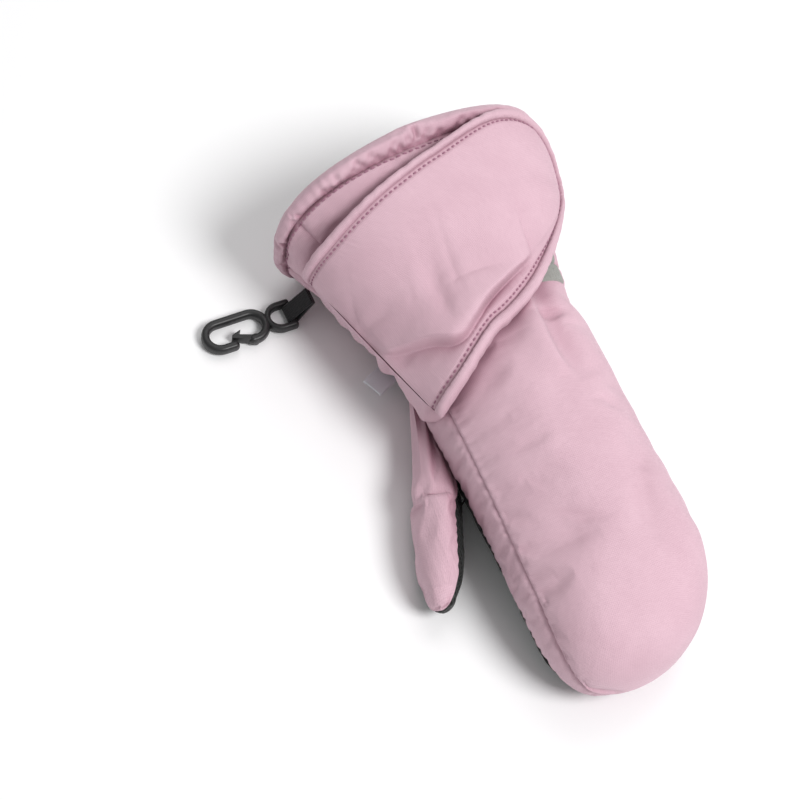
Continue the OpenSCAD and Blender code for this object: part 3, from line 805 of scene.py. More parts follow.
def underFlap(points):
    # distance in millimetres outside the flap's footprint, measured along and round the cuff
    x, y, z = points.T
    height = smoothKeys(backHeight, y)
    reach = np.where(x < 0, smoothKeys(thumbReach, y), smoothKeys(fingerReach, y))
    angle = np.degrees(np.arctan2((z - height / 2) / height * 2, x / reach))
    angle = np.where(angle < -90, angle + 360, angle)
    run = np.clip((152 - angle) / 136, 0, 1)
    off = np.maximum(smoothKeys(fl["lower"], run) - y, y - smoothKeys(fl["upper"], run))
    return np.maximum(0, np.maximum(off, np.maximum(fl["endLift"] - angle, angle - 190) * 0.8))


halfRing = len(ringAngle) // 2
seamPoints = np.concatenate([
    backIds[:, 0], backIds[:, -1], backIds[-1], palmIds[:, 0], palmIds[:, -1], palmIds[-1],
    backIds[wristRow], palmIds[wristRow], hemIds[:, 0], hemIds[:, -1], tubeIds[0],
    tubeIds[:, farCells], tubeIds[:, farCells + halfRing], capIds[0][:, 0]])
count = len(shellPoints)
pinned = np.zeros(count, bool)
pinned[seamPoints] = True
looseness = {
    "panels": 0.7,  # 1 is as cut, 0 the loosest
    "wrist": 0.6,  # taken off at the gathered wrist, over this reach
    "wristReach": 16,
    "hem": 0.5,
    "capUnderFlap": 1.0,  # most that the shell may swell under the flap, and added away from it
    "capAdded": 2.4,
}
nearWrist = np.exp(-((shellPoints[:, 1] + 2) / looseness["wristReach"]) ** 2)
pull = looseness["panels"] - looseness["wrist"] * nearWrist
pull[np.unique(hemIds[:, 1:4])] = looseness["hem"]
pull = np.round(pull * 20) / 20
pull[seamPoints] = 1.0
shellCap = looseness["capUnderFlap"] + looseness["capAdded"] * smoothStep(underFlap(shellPoints) / 14)
settled = settle("shell", shellPoints, faces, pinned, pull, shellCap, settling)


def pointNormals(points, cells):
    # face normals summed at their corners
    a, b = points[cells[:, 2]] - points[cells[:, 0]], points[cells[:, 3]] - points[cells[:, 1]]
    n = np.cross(a, b)
    out = np.zeros_like(points)
    for k in range(4):
        np.add.at(out, cells[:, k], n)
    return out / (np.linalg.norm(out, axis=1, keepdims=True) + 1e-12)


def relaxed(points, cells, weight, times):
    # each round moves a point by half its weight towards the mean of its neighbours
    ends = np.concatenate([cells[:, [0, 1]], cells[:, [1, 2]], cells[:, [2, 3]], cells[:, [3, 0]]])
    ends = np.concatenate([ends, ends[:, ::-1]])
    number = np.maximum(np.bincount(ends[:, 0], minlength=len(points)), 1)[:, None]
    for _ in range(times):
        total = np.zeros_like(points)
        np.add.at(total, ends[:, 0], points[ends[:, 1]])
        points = points + 0.5 * weight[:, None] * (total / number - points)
    return points


# the thumb's end is evened out where its cap meets the tube
evened = {"capReach": 6, "capTimes": 14, "sideFrom": 27, "sideTimes": 8}
capRing = settled[tubeIds[-1]]
fromRing = np.full(count, 99.0)
nearThumb = np.unique(np.concatenate([tubeIds[-8:].reshape(-1)] + [c.reshape(-1) for c in capIds]))
fromRing[nearThumb] = np.linalg.norm(settled[nearThumb][:, None] - capRing[None], axis=-1).min(1)
settled = relaxed(settled, faces, 1 - smoothStep(fromRing / evened["capReach"]), evened["capTimes"])
# and the hand's finger side hangs smooth
fingerSide = smoothStep((settled[:, 0] - evened["sideFrom"]) / 8) * smoothStep((-12 - settled[:, 1]) / 12)
settled = relaxed(settled, faces, fingerSide, evened["sideTimes"])

# seams draw the cloth in: full depth on the thread, a part of it on the next row
grooves = {"panel": 1.0, "wrist": 0.5, "hem": 1.1, "thumb": 0.6,
           "root": 0.8, "beside": 0.22, "besideHem": 0.2}
sink = np.zeros(count)


def sinkGrid(ids, depth, *lines):
    # each line is an index of the grid: a row or a column
    for line in lines:
        np.maximum.at(sink, ids[line].reshape(-1), depth)


beside = grooves["panel"] * grooves["beside"]
for ids in (backIds, palmIds):
    sinkGrid(ids, grooves["panel"], np.s_[:, 0], np.s_[:, -1], np.s_[-1])
    sinkGrid(ids, beside, np.s_[:, 1], np.s_[:, -2], np.s_[-2])
    sinkGrid(ids, grooves["wrist"], np.s_[wristRow])
sinkGrid(sideIds, beside, np.s_[:, 1], np.s_[:, -2])
sinkGrid(hemIds, grooves["hem"], np.s_[:, 0])
sinkGrid(hemIds, grooves["hem"] * grooves["besideHem"], np.s_[:, 1])
sinkGrid(tubeIds, grooves["root"], np.s_[0])
sinkGrid(tubeIds, grooves["thumb"], np.s_[:, farCells], np.s_[:, farCells + halfRing])
sinkGrid(capIds[0], grooves["thumb"], np.s_[:, 0])
settled = settled - pointNormals(settled, faces) * sink[:, None]
settled[:, 2] = np.maximum(settled[:, 2], 0.03)
print("shell settled")


def puckers(grid, sides, seed, height=0.28, pitch=3.4, reach=5.0):
    # small gathers square to a seam: sines along it, rising from the thread and dying out over the reach
    d = edgeDistance(grid, sides)
    along = arcLengths(grid, 0) if 2 in sides or 3 in sides else arcLengths(grid, 1)
    envelope = (d / reach) * np.exp(1 - d / reach) * np.exp(-(d / (2.2 * reach)) ** 2)
    others = [k for k in range(4) if k not in sides]
    envelope = envelope * smoothStep(edgeDistance(grid, others) / 6)
    rough = 0.55 + 0.45 * waves(along * 0.11, seed + 7)
    return height * envelope * rough * waves(along * fullTurn / pitch * 0.8, seed)


def ridge(x, y, path, height, gentle, steep):
    # a fold along a path: height*exp(-(d/w)^2), wider on its left side than on its right, faded at its ends
    path = spline(np.array(path, float), 160, 0)
    px, py = path.T
    d2 = (x[..., None] - px) ** 2 + (y[..., None] - py) ** 2
    k = np.clip(np.argmin(d2, -1), 1, len(path) - 2)
    tx, ty = px[k + 1] - px[k - 1], py[k + 1] - py[k - 1]
    away = ((x - px[k]) * ty - (y - py[k]) * tx) / np.hypot(tx, ty)
    beyond = np.sqrt(d2.min(-1))
    d = np.sign(away) * beyond
    fade = np.sin(np.pi * k / (len(path) - 1)) ** 0.7
    return height * fade * np.exp(-(d / np.where(d > 0, steep, gentle)) ** 2)


handBack = {
    "folds": [  # (path in x and y, height, gentle width, steep width)
        ([(17, -54), (15, -44), (15, -33), (17, -20), (20, -6)], 3.6, 8, 2.6),
        ([(23, -58), (22, -42), (23, -26), (25, -8)], -2.4, 4, 5),
        ([(33, -60), (33, -40), (30, -16)], 1.8, 6, 8),
        ([(36, -76), (28, -95), (22, -112), (20, -126)], -2.2, 5, 6),
        ([(39, -84), (38, -104), (34, -130)], 1.0, 7, 8),
        ([(-22, -58), (-6, -52), (10, -56)], 0.8, 12, 8),
        ([(-24, -76), (-12, -71), (2, -76)], 0.7, 10, 7),
    ],
    "puckers": (1, 0.25),  # their share of the height on the thumb side and on the finger side
}


def raised(grid, way, rise):
    # the grid moved along its normals, its border left where it is
    rise[[0, -1]] = 0
    rise[:, [0, -1]] = 0
    return grid + gridNormals(grid, way) * rise[..., None]


def dressBack(ids, sides, folds, seed):
    # a panel of the back with its puckers and the folds pressed into it
    grid = finer(settled[ids])
    rise = puckers(grid, sides, seed) * np.linspace(*handBack["puckers"], grid.shape[1])
    fade = smoothStep(edgeDistance(grid, (0, 1, 2, 3)) / 6)
    for fold in folds:
        rise = rise + fade * ridge(grid[..., 0], grid[..., 1], *fold)
    return raised(grid, 1, rise)


def dressPanel(ids, sides, seed, height=0.28, pitch=3.4):
    # any other panel, with its puckers
    grid = finer(settled[ids])
    way = facing(grid, (0, -40, 26))
    return raised(grid, way, puckers(grid, sides, seed, height, pitch)), way


meshPiece("handBack", [part(dressBack(backIds[wristRow:], (2, 3, 1), handBack["folds"], 3), 1)],
          "shell_canvas", "back_panel")

# boxing strip of the hand, its two ends and the finger end in one run
sidePanel, _ = dressPanel(sideIds[wristRow:len(sideIds) - wristRow], (2, 3), 11, 0.14)
meshPiece("handSide", [part(sidePanel, 1)], "shell_canvas", "finger_gusset")

# the palm in three grids round the thumb's hole
palmParts = []
for ids in (palmIds[holeFarRow:], palmIds[wristRow:holeNearRow + 1],
            palmIds[holeNearRow:holeFarRow + 1, p["holeLow"]:]):
    grid, _ = dressPanel(ids, (), 17)
    palmParts.append((grid, -1, clothUv(grid, 0) + np.array([grid[0, 0, 0], -grid[0, 0, 1]])))
meshPiece("handPalm", palmParts, "grip_fabric", "palm_panel")


# the cuff: one back panel, and a palm panel that runs round both sides
meshPiece("cuffBack", [part(dressBack(backIds[:wristRow + 1], (2, 3), [], 23), 1)], "shell_canvas",
          "cuff_back_panel")
cuffRuns = ((palmIds[:wristRow + 1], (0,), 29, -1), (sideIds[:wristRow + 1], (0, 3), 31, 1),
            (sideIds[-wristRow - 1:], (1, 3), 37, 1))
meshPiece("cuffPalm", [part(dressPanel(ids, sides, seed, 0.35)[0], way)
                       for ids, sides, seed, way in cuffRuns],
          "shell_canvas", "cuff_palm_panel")


def rollGathers(grid, seed, height, pitch):
    # gathers square to the roll's stitched edge, strongest a few millimetres out from it
    d = arcLengths(grid, 1)
    along = arcLengths(grid, 0)[:, :1]
    total = along[-1, 0]
    turns = np.round(total / pitch)
    around = along / total * fullTurn
    rough = 0.6 + 0.4 * np.sin(around * 5 + seed) * np.sin(around * 13 + 2 * seed)
    lines = np.sin(around * turns + 1.2 * np.sin(around * 9 + seed))
    return height * rough * lines * (d / 2.2) * np.exp(1 - d / 2.2)


hemFine = spline(spline(settled[hemIds], (len(hemIds) - 1) * 6 + 1, 0), 49, 1)
rise = rollGathers(hemFine, 3, 0.28, 4.2)
rise[:, [0, -1]] = 0
hemFine = hemFine + gridNormals(hemFine, 1) * rise[..., None]
hemFine[..., 2] = np.maximum(hemFine[..., 2], hem["clear"])
hemFine[-1] = hemFine[0]
meshPiece("hemRoll", [(hemFine, 1, clothUv(hemFine, 0)[..., ::-1])], "shell_canvas", "cuff_hem")

# the thumb: half its rings and one cap half in canvas, the rest in grip fabric
thumbLook = {"bend": ([(-46, -56), (-42, -68), (-36, -76)], 1.3, 7, 3.6), "puckers": (0.15, 0.12)}
pinkTube, tubeWay = dressPanel(tubeIds[:, farCells:farCells + halfRing + 1],
                               (2, 3), 41, thumbLook["puckers"][0])
bend = ridge(pinkTube[..., 0], pinkTube[..., 1], *thumbLook["bend"])
bend[:, [0, -1]] = 0
bend = bend * smoothStep(edgeDistance(pinkTube, (0, 1, 2, 3)) / 5)
pinkTube = pinkTube + gridNormals(pinkTube, tubeWay) * bend[..., None]
gripIds = np.concatenate([tubeIds[:, farCells + halfRing:-1], tubeIds[:, :farCells + 1]], 1)
gripTube, _ = dressPanel(gripIds, (2, 3), 43, thumbLook["puckers"][1])
for name, tube, ids, slotName, cadNode in (
        ("thumbBack", pinkTube, capIds[0], "shell_canvas", "thumb_back"),
        ("thumbGrip", gripTube, capIds[1], "grip_fabric", "thumb_palm")):
    cap, tubeUv = finer(settled[ids]), clothUv(tube)
    capUv = np.stack([cap[..., 0] - cap[halfRing, 0, 0], -cap[..., 1]], -1) * 0.9
    capUv = capUv + tubeUv[-1, tube.shape[1] // 2]
    meshPiece(name, [(tube, -1, tubeUv), (cap, -1, capUv)], slotName, cadNode)
print("hand, cuff and thumb dressed")


# the flap
def mixed(a, b, f):
    # a at 0, b at 1
    return a * (1 - f) + b * f


def flapPoint(run, y, across, h, margin):
    # over the cuff by run from the hinge's side to the far side, blended into the straight hinge line
    run, y, across = np.broadcast_arrays(run, y, across)
    angle = mixed(mixed(152, 188, across), fl["endLift"] + 1.1 * margin, run)
    side = np.where(angle > 90, -1, 1)
    lift = np.where(angle > 90, 180 - angle, angle)
    mid = fl["lift"] + fl["thickness"] / 2
    onCuff = bodyPoint(y, side, lift, -mid)
    up = bodyPoint(y, side, lift, -mid - 1) - onCuff
    free = smoothStep(run / 0.2)[..., None]
    room = margin / np.linalg.norm(hingeTop - hingeLow)
    f = mixed(room, 1 - room, across)[..., None]
    hinge = mixed(hingeLow, hingeTop, f) + np.array([0, 0, fl["hingeGap"]])
    thin = mixed(0.22, 1, smoothStep(run / 0.14))
    rise = (h - fl["thickness"] / 2) * thin
    return mixed(hinge, onCuff, free) + rise[..., None] * up / np.linalg.norm(up, axis=-1, keepdims=True)


def flapGrid(h, margin):
    # straight rows from the hinge, then a half disc laid out as a square for the rounded end
    s = np.linspace(0, 1, fl["across"] + 1)
    run = np.linspace(0, fl["straightShare"], fl["straightRows"] + 1)[:, None]

    def edges(run):
        # the upper and the lower edge, each drawn in by the margin
        return smoothKeys(fl["upper"], run) - margin, smoothKeys(fl["lower"], run) + margin
    top, bottom = edges(run)
    straight = flapPoint(run, mixed(bottom, top, s), s, h, margin)
    yEnd = mixed(bottom[-1], top[-1], s)
    middle = fl["middle"]
    u = np.where(yEnd > middle, (yEnd - middle) / (top[-1] - middle), (yEnd - middle) / (middle - bottom[-1]))
    v, u = np.meshgrid(np.linspace(0, 1, fl["endRows"] + 1)[1:], u, indexing="ij")
    cu, cv = onDisc(u, v)
    way, r, n = np.arctan2(cv, np.abs(cu)), np.hypot(cu, cv), fl["round"]
    w = np.arctan2(np.sin(way) ** (n / 2), np.cos(way) ** (n / 2))
    closing = np.clip(r * np.sin(w) ** (2 / n), 0, 1)
    lateral = np.sign(cu) * r * np.cos(w) ** (2 / n)
    run = fl["straightShare"] + fl["endShare"] * closing
    top, bottom = edges(run)
    y = middle + np.where(lateral > 0, lateral * (top - middle), lateral * (middle - bottom))
    narrow = (1 - np.minimum(closing, 0.9999) ** n) ** (1 / n)
    across = np.clip(0.5 + (y - (middle + (top + bottom - 2 * middle) * narrow / 2))
                     / ((top - bottom) * narrow), 0, 1)
    end = flapPoint(run, y, across, h, margin)
    return np.concatenate([straight, end])


def flapEdge(grid):
    # the free edge: up the hem side, round the end, back down the finger side
    return np.concatenate([grid[:-1, -1], grid[-1, ::-1], grid[-2::-1, 0]])


binding = {
    "roll": [(0, -0.75), (0.06, 0.3), (0.22, 0.95), (0.48, 1.05), (0.76, 0.5), (0.94, -0.6), (1.0, -2.0),
             (0.94, -3.2), (0.76, -4.0), (0.48, -4.3), (0.22, -4.25), (0.06, -4.1), (0, -3.9)],
    # share of the way from the panel's edge to the flap's, and height over the panel's top
    "lumps": ((0.16, 0.55, 51), (0.12, 1.6, 53)),  # height, waves a millimetre, seed: all over, by the seam
}
flapTopRaw, flapUnderRaw = flapGrid(fl["thickness"], fl["binding"]), flapGrid(0.0, fl["binding"])
bindingRaw = np.stack([mixed(flapEdge(flapGrid(fl["thickness"] + rise, fl["binding"])),
                             flapEdge(flapGrid(fl["thickness"] + rise, 0.0)), out)
                       for out, rise in binding["roll"]], 1)
edgeWall = np.stack([flapEdge(flapTopRaw), flapEdge(flapUnderRaw)], 1)
hingeWall = np.stack([flapTopRaw[0], flapUnderRaw[0]], 1)
flapPoints, (topIds, underIds, edgeIds, wallIds) = weld([flapTopRaw, flapUnderRaw, edgeWall, hingeWall])
flapFaces = np.concatenate([cellsOf(topIds), cellsOf(underIds)[:, ::-1], cellsOf(edgeIds),
                            cellsOf(wallIds)[:, ::-1]])
flapSettling = {
    "scale": 10.0,
    "frames": 22,
    "quality": 6,
    "pressure": 0.6,
    "ease": -0.045,
    "seamPull": 0.01,
    "looseness": 0.8,
    "cap": (1.0, 2.2),  # the most that the layers may move below and above
}
flapPinned = np.zeros(len(flapPoints), bool)
flapPinned[np.unique(np.concatenate([edgeIds.reshape(-1), wallIds.reshape(-1)]))] = True
flapPull = np.where(flapPinned, 1.0, flapSettling["looseness"])
flapCap = np.full(len(flapPoints), flapSettling["cap"][0])
flapCap[np.unique(topIds)] = flapSettling["cap"][1]
flapSettled = settle("flap", flapPoints, flapFaces, flapPinned, flapPull, flapCap, flapSettling)

flapLook = {
    "fold": [(-42, -12), (-34, -16), (-24, -21), (-15, -26), (-7, -21), (3, -13), (26, -3)],  # in x and y
    "foldRise": 5.0,
    "foldSink": 2.6,
    "foldStep": 3.2,  # width of the step between them
    "foldAbove": 16.0,  # reach of the raised part
    "foldBelow": 9.0,
    "foldLean": 2.2,  # how far the step leans over the part below
    "stitchIn": 1.7,  # topstitching inside the binding
    "stitchSink": (0.45, 0.7),  # depth and width of its groove
    "edgeSink": (0.7, 0.9),
}


def groove(away, depth, width):
    # depth * exp(-(away/width)^2)
    return depth * np.exp(-((away / width) ** 2))


def foldShift(grid, way):
    # the big fold: a step down across the line y = f(x), raised above it by exp(-(d/above)^2),
    # sunk by exp(-d/below)
    px, py = spline(np.array(flapLook["fold"], float), 160, 0).T
    x, y = grid[..., 0], grid[..., 1]
    slope = np.interp(x, px, np.gradient(py, px))
    d = (y - np.interp(x, px, py)) / np.sqrt(1 + slope**2)
    up = flapLook["foldRise"] * np.exp(-(np.maximum(d, 0) / flapLook["foldAbove"]) ** 2)
    down = -flapLook["foldSink"] * np.exp(np.minimum(d, 0) / flapLook["foldBelow"])
    fade = np.sin(np.pi * np.clip((x - px[0]) / (px[-1] - px[0]), 0, 1)) ** 0.5
    fade = fade * smoothStep((edgeDistance(grid, (1, 2, 3)) - 2) / 9) * smoothStep(arcLengths(grid, 0) / 6)
    step = fade * mixed(down, up, smoothStep(0.5 + d / flapLook["foldStep"]))
    lean = flapLook["foldLean"] * fade * np.exp(-((d - 1) / 4) ** 2) / np.sqrt(1 + slope**2)
    return gridNormals(grid, way) * step[..., None] + np.stack([slope * lean, -lean, 0 * lean], -1)


flapTop = finer(flapSettled[topIds], 3)
flapOut = facing(flapTop, (0, 0, 0))
edge = edgeDistance(flapTop, (1, 2, 3))
rise = puckers(flapTop, (2, 3), 5, 0.16, 3.0, 3.5)
rise = rise - groove(edge - flapLook["stitchIn"], *flapLook["stitchSink"]) * smoothStep(edge / 0.8)
rise = rise - groove(edge, *flapLook["edgeSink"])
rise[0] = 0
flapTop = flapTop + gridNormals(flapTop, flapOut) * rise[..., None]
flapFold = foldShift(flapTop, flapOut)  # both layers move together, so they never cross
flapTop = flapTop + flapFold
meshPiece("flapTop", [part(flapTop, flapOut)], "shell_canvas", "flap_outer", "flap_padding", bodyName="flap")
flapUnder = finer(flapSettled[underIds], 3) + flapFold
meshPiece("flapUnder", [part(flapUnder, -flapOut)], "shell_canvas", "flap_lining", bodyName="flap")

bindingFine = spline(spline(bindingRaw, (bindingRaw.shape[0] - 1) * 3 + 1, 0), 37, 1)
bindingWay = facing(bindingFine, bindingFine.mean((0, 1)))
run = arcLengths(bindingFine, 0)[:, 18:19]
around = np.linspace(0, 1, 37)
over, bySeam = (height * waves(run * pace, seed) for height, pace, seed in binding["lumps"])
swell = over * np.sin(np.pi * around) + bySeam * np.exp(-((around - 0.1) / 0.12) ** 2)
swell[:, [0, -1]] = 0
bindingFine = bindingFine + gridNormals(bindingFine, bindingWay) * swell[..., None]
meshPiece("flapBinding", [(bindingFine, bindingWay, clothUv(bindingFine)[..., ::-1])], "shell_canvas",
          "flap_binding", bodyName="flap")
print("flap dressed")


# inside: wadding, waterproof film, lining and elastic
filmRow = 24  # the waterproof film starts at this row of the cuff
farEnd = 2 * lastRow + p["across"]  # the strip's last row, on the finger side


def picks(step):
    # the rows, columns and strip places that a layer is drawn with: all of them, or every fourth
    rows = np.union1d(np.arange(0, lastRow + 1, step), [filmRow, wristRow, holeNearRow, holeFarRow, lastRow])
    return rows, np.arange(0, p["across"] + 1, step), np.arange(0, p["side"] + 1, 3 if step > 1 else 1)


def palmAt(depth):
    # the palm at one depth; at the thumb's hole its edge turns inwards along the root
    palm = panelGrid("palm", depth)
    palm[holeAt] = palmRaw[holeAt] + depth * holeTurn
    return palm


def innerGrids(depth):
    # the panels at one depth, carried by the way the shell settled over them
    back = panelGrid("back", depth) + settled[backIds] - backRaw
    palm = palmAt(depth) + settled[palmIds] - palmRaw
    side = sideGrid(depth) + settled[sideIds] - sideRaw
    side[holeNearRow:holeFarRow + 1, 0] = palm[holeNearRow:holeFarRow + 1, 0]
    return back, palm, side


def rowLoop(grids, row):
    # once round the section at one row: back, far strip, palm, near strip
    back, palm, side = grids
    return np.concatenate([back[row], side[-1 - row][-2::-1], palm[row][-2::-1], side[row][1:]])


def patchesOf(grids, first, last, step):
    # a layer between two rows of the body, as grids that share their borders and leave the thumb's hole
    back, palm, side = grids
    allRows, columns, strip = picks(step)
    rows = allRows[(allRows >= first) & (allRows <= last)]
    patches = [back[np.ix_(rows, columns)]]
    beside = columns[columns >= p["holeLow"]]
    for start, end, across in ((first, holeNearRow, columns), (holeNearRow, holeFarRow, beside),
                               (holeFarRow, last, columns)):
        between = rows[(rows >= start) & (rows <= end)]
        if len(between) > 1:
            patches.append(palm[np.ix_(between, across)])
    if last < lastRow:
        return patches + [side[np.ix_(rows, strip)], side[np.ix_(farEnd - rows[::-1], strip)]]
    run = np.concatenate([rows, lastRow + columns[1:-1], farEnd - rows[::-1]])
    return patches + [side[np.ix_(run, strip)]]


def layerPiece(name, depths, first, last, slotName, cadNode, step=4):
    # outside and inside at two depths, walled at the open rows and round the thumb's hole
    outer, inner = innerGrids(depths[0]), innerGrids(depths[1])
    _, columns, strip = picks(step)
    wide, high = p["across"], p["side"]
    loop = np.concatenate([columns, wide + strip[1:], wide + high + columns[1:], 2 * wide + high + strip[1:]])
    parts = []
    for grids, sign in ((outer, 1), (inner, -1)):
        for patch in patchesOf(grids, first, last, step):
            centre = (0, np.clip(patch[..., 1].mean(), -95, 30), 27)
            parts.append(part(patch, facing(patch, centre) * sign))
    for row, sign in ((first, 1), (last, -1)):
        if row < lastRow:
            wall = np.stack([rowLoop(outer, row), rowLoop(inner, row)])[:, loop]
            parts.append(part(wall, facing(wall, (0, wall[..., 1].mean() - 50 * sign, 30))))
    if last > holeFarRow:
        hole = np.stack([outer[1][holeAt], inner[1][holeAt]])[:, ::step]
        parts.append(part(np.concatenate([hole, hole[:, :1]], 1), -1))
    return meshPiece(name, parts, slotName, cadNode)


def thumbLayer(name, depths, slotName, cadNode, step=4):
    # tube and closed end at two depths, walled at the root
    parts, roots = [], []
    for depth, way in zip(depths, (-1, 1)):
        tube, caps = thumbGrids(palmAt(depth), depth)
        tube = np.concatenate([tube, tube[:, :1]], 1) + settled[tubeIds] - tubeRaw
        rows = np.union1d(np.arange(0, len(tube), 3), [len(tube) - 1])
        parts.append(part(tube[rows][:, ::step], way))
        roots.append(tube[0, ::step])
        for cap, ids, raw in zip(caps, capIds, capsRaw):
            parts.append(part((cap + settled[ids] - raw)[::step, ::step], way))
    parts.append(part(np.stack(roots), 1))
    return meshPiece(name, parts, slotName, cadNode)


layers = {"wadding": (3.2, 6.3), "thumbWadding": (3.0, 6.3), "film": (6.45, 6.85), "lining": (6.95, 8.55)}
handWadding = layerPiece("handWadding", layers["wadding"], filmRow, lastRow, "wadding", "hand_insulation")
cuffWadding = layerPiece("cuffWadding", layers["wadding"], 0, filmRow, "wadding", "cuff_insulation")
thumbWadding = thumbLayer("thumbWadding", layers["thumbWadding"], "wadding", "thumb_insulation")
layerPiece("handFilm", layers["film"], filmRow, lastRow, "membrane_film", "hand_membrane")
thumbLayer("thumbFilm", layers["film"], "membrane_film", "thumb_membrane")
layerPiece("handLining", layers["lining"], 0, lastRow, "fleece_lining", "hand_lining", 1)
thumbLayer("thumbLining", layers["lining"], "fleece_lining", "thumb_lining", 2)

elastic = {
    "depths": (1.3, 2.4),
    "rows": 4,  # on each side of the wrist seam
    "gathers": 62,
    "height": 0.35,
}


def elasticBand():
    # outer and inner rows round the wrist, joined over both edges, drawn in by the gathers' sine
    rows = range(wristRow - elastic["rows"], wristRow + elastic["rows"] + 1)
    outer, inner = (innerGrids(depth) for depth in elastic["depths"])
    band = np.stack([rowLoop(outer, r) for r in rows] + [rowLoop(inner, r) for r in rows[::-1]]
                    + [rowLoop(outer, rows[0])])
    gather = elastic["height"] * np.sin(np.linspace(0, fullTurn * elastic["gathers"], band.shape[1]))
    middle = np.array([0, -2.0, 27])
    inwards = (middle - band) / np.linalg.norm(middle - band, axis=-1, keepdims=True)
    band = band + inwards * (gather[None, :, None] + elastic["height"])
    meshPiece("wristElastic", [part(band, facing(band[:9], middle))], "elastic_band", "wrist_elastic")


elasticBand()
flapFill = {
    "from": 10,  # it stops this many rows short of the hinge, so it never reaches the strip
    "between": (0.35, 0.7),  # its two sides, from the flap's upper layer to its lower one
}
fillTop, fillUnder = (mixed(flapTop, flapUnder, f)[flapFill["from"]:] for f in flapFill["between"])
rim = np.stack([np.concatenate([flapEdge(g), g[0, 1:]]) for g in (fillTop, fillUnder)], 1)
parts = [part(fillTop, flapOut), part(fillUnder, -flapOut), part(rim, facing(rim, rim.mean((0, 1))))]
flapWadding = meshPiece("flapWadding", parts, "wadding", "flap_padding", bodyName="flap")
print("inside laid")


# fastener, hinge strip and label
def sampled(grid, row, column):
    # bilinear between the grid's points
    r, c = np.clip(row, 0, grid.shape[0] - 1.001), np.clip(column, 0, grid.shape[1] - 1.001)
    i, j = r.astype(int), c.astype(int)
    f, g = (r - i)[..., None], (c - j)[..., None]
    return mixed(mixed(grid[i, j], grid[i, j + 1], g), mixed(grid[i + 1, j], grid[i + 1, j + 1], g), f)


tape = {
    "y": (-11, 32),
    "lift": (29, 58),
    "thick": 0.95,
    "edge": 0.9,  # the edge is pressed down over this width
}


def pressedTape(grid, way, thick):
    # height over the cloth: full in the middle, falling to it at the edges
    d = edgeDistance(grid, (0, 1, 2, 3))
    rise = thick * np.sqrt(1 - (1 - np.clip(d / tape["edge"], 0, 1)) ** 2) - 0.1
    n = gridNormals(grid, way)
    fuzz = 0.07 * np.random.default_rng(9).standard_normal(d.shape) * smoothStep(d / 1.5)
    return grid + n * (rise + fuzz)[..., None]


def cuffTape():
    # between two places along the cuff and two round it, on the back's settled grid
    y, lift = np.meshgrid(np.linspace(*tape["y"], 93), np.linspace(*tape["lift"], 75), indexing="ij")
    seamLift = evenLift(smoothKeys(backSeamKeys, edgePlace(y, 1)))
    r = (90 - evenLift(lift)) / (90 - seamLift)
    grid = sampled(finer(settled[backIds]), np.interp(-y, -rowY, np.arange(len(rowY))) * 2, (32 + 32 * r) * 2)
    way = facing(grid, (0, 0, 20))
    meshPiece("cuffTape", [part(pressedTape(grid, way, tape["thick"]), way)], "loop_tape", "loop_patch")


def flapTape():
    # under the flap's rounded end, on its lower layer
    grid = finer(finer(flapSettled[underIds][fl["straightRows"] + 5:-6, 9:36]), 2)
    grid = pressedTape(grid, -flapOut, tape["thick"])
    meshPiece("flapTape", [part(grid, -flapOut)], "hook_tape", "hook_patch", bodyName="flap")


cuffTape()
flapTape()

strip = {
    "bulge": 9.0,
    "crumple": 0.9,
    "knotAt": 0.35,  # along the hinge, from its finger end
    "tails": (-0.01, 1.04),  # it runs out into the cuff's side past both ends of the hinge
}


def hingeStrip():
    # five rails along the hinge: up from the side, over the hinge line, and down inside, splined across
    t = np.linspace(*strip["tails"], 181)[:, None]
    stand = smoothStep((t - strip["tails"][0]) / 0.12) * smoothStep((strip["tails"][1] - t) / 0.1)
    angle, y = mixed(154, 190, t[:, 0]), mixed(-48, 33, t[:, 0])

    def rail(turn, depth):
        # a line along the cuff's side, turned so many degrees and sunk so deep
        return bodyPoint(y, -1, 180 - angle - turn, depth)
    sunk = 0.6 + 1.5 * (1 - stand[:, 0])
    low, inner = rail(15, sunk), rail(2, sunk)
    hinge = mixed(rail(6, sunk), mixed(hingeLow, hingeTop, t), stand)
    outward = (low - inner) / np.linalg.norm(low - inner, axis=1, keepdims=True)
    knot = np.exp(-((t - strip["knotAt"]) / 0.035) ** 2)
    middle = mixed(low, hinge, 0.55) + outward * strip["bulge"] * (1 - 0.7 * knot) * stand
    top = hinge + stand * (outward * 1.2 + np.array([0, 0, 0.25]))
    over = hinge - stand * (outward * 0.3 + np.array([0, 0, 0.3]))
    grid = spline(np.stack([low, middle, top, over, inner], 1), 41, 1)
    way = facing(grid[:, :20], (0, 0, 25))
    s = np.linspace(0, 1, 41)
    inMiddle = 0.35 + 0.65 * np.exp(-((t - 0.5) / 0.22) ** 2)
    gathers = waves(t * 28 + 6 * s * (1 - s), 61) * inMiddle + 1.2 * knot * np.sin(s * 26)
    height = strip["crumple"] * gathers * np.sin(np.pi * np.clip(s / 0.6, 0, 1)) * stand
    grid = grid + gridNormals(grid, way) * height[..., None]
    meshPiece("hingeStrip", [part(grid, way)], "shell_canvas", "flap_seam")


hingeStrip()

label = {
    "place": (-31.5, -3.0, 9.0),
    "turn": 205,
    "size": (11, 9),
    "ply": 0.25,
}


def thicken(piece, thick, offset):
    # a Solidify of so many millimetres: -1 grows it inwards from the surface, 0 both ways
    solid = piece.modifiers.new("thickness", "SOLIDIFY")
    solid.thickness = thick * 0.001
    solid.offset = offset


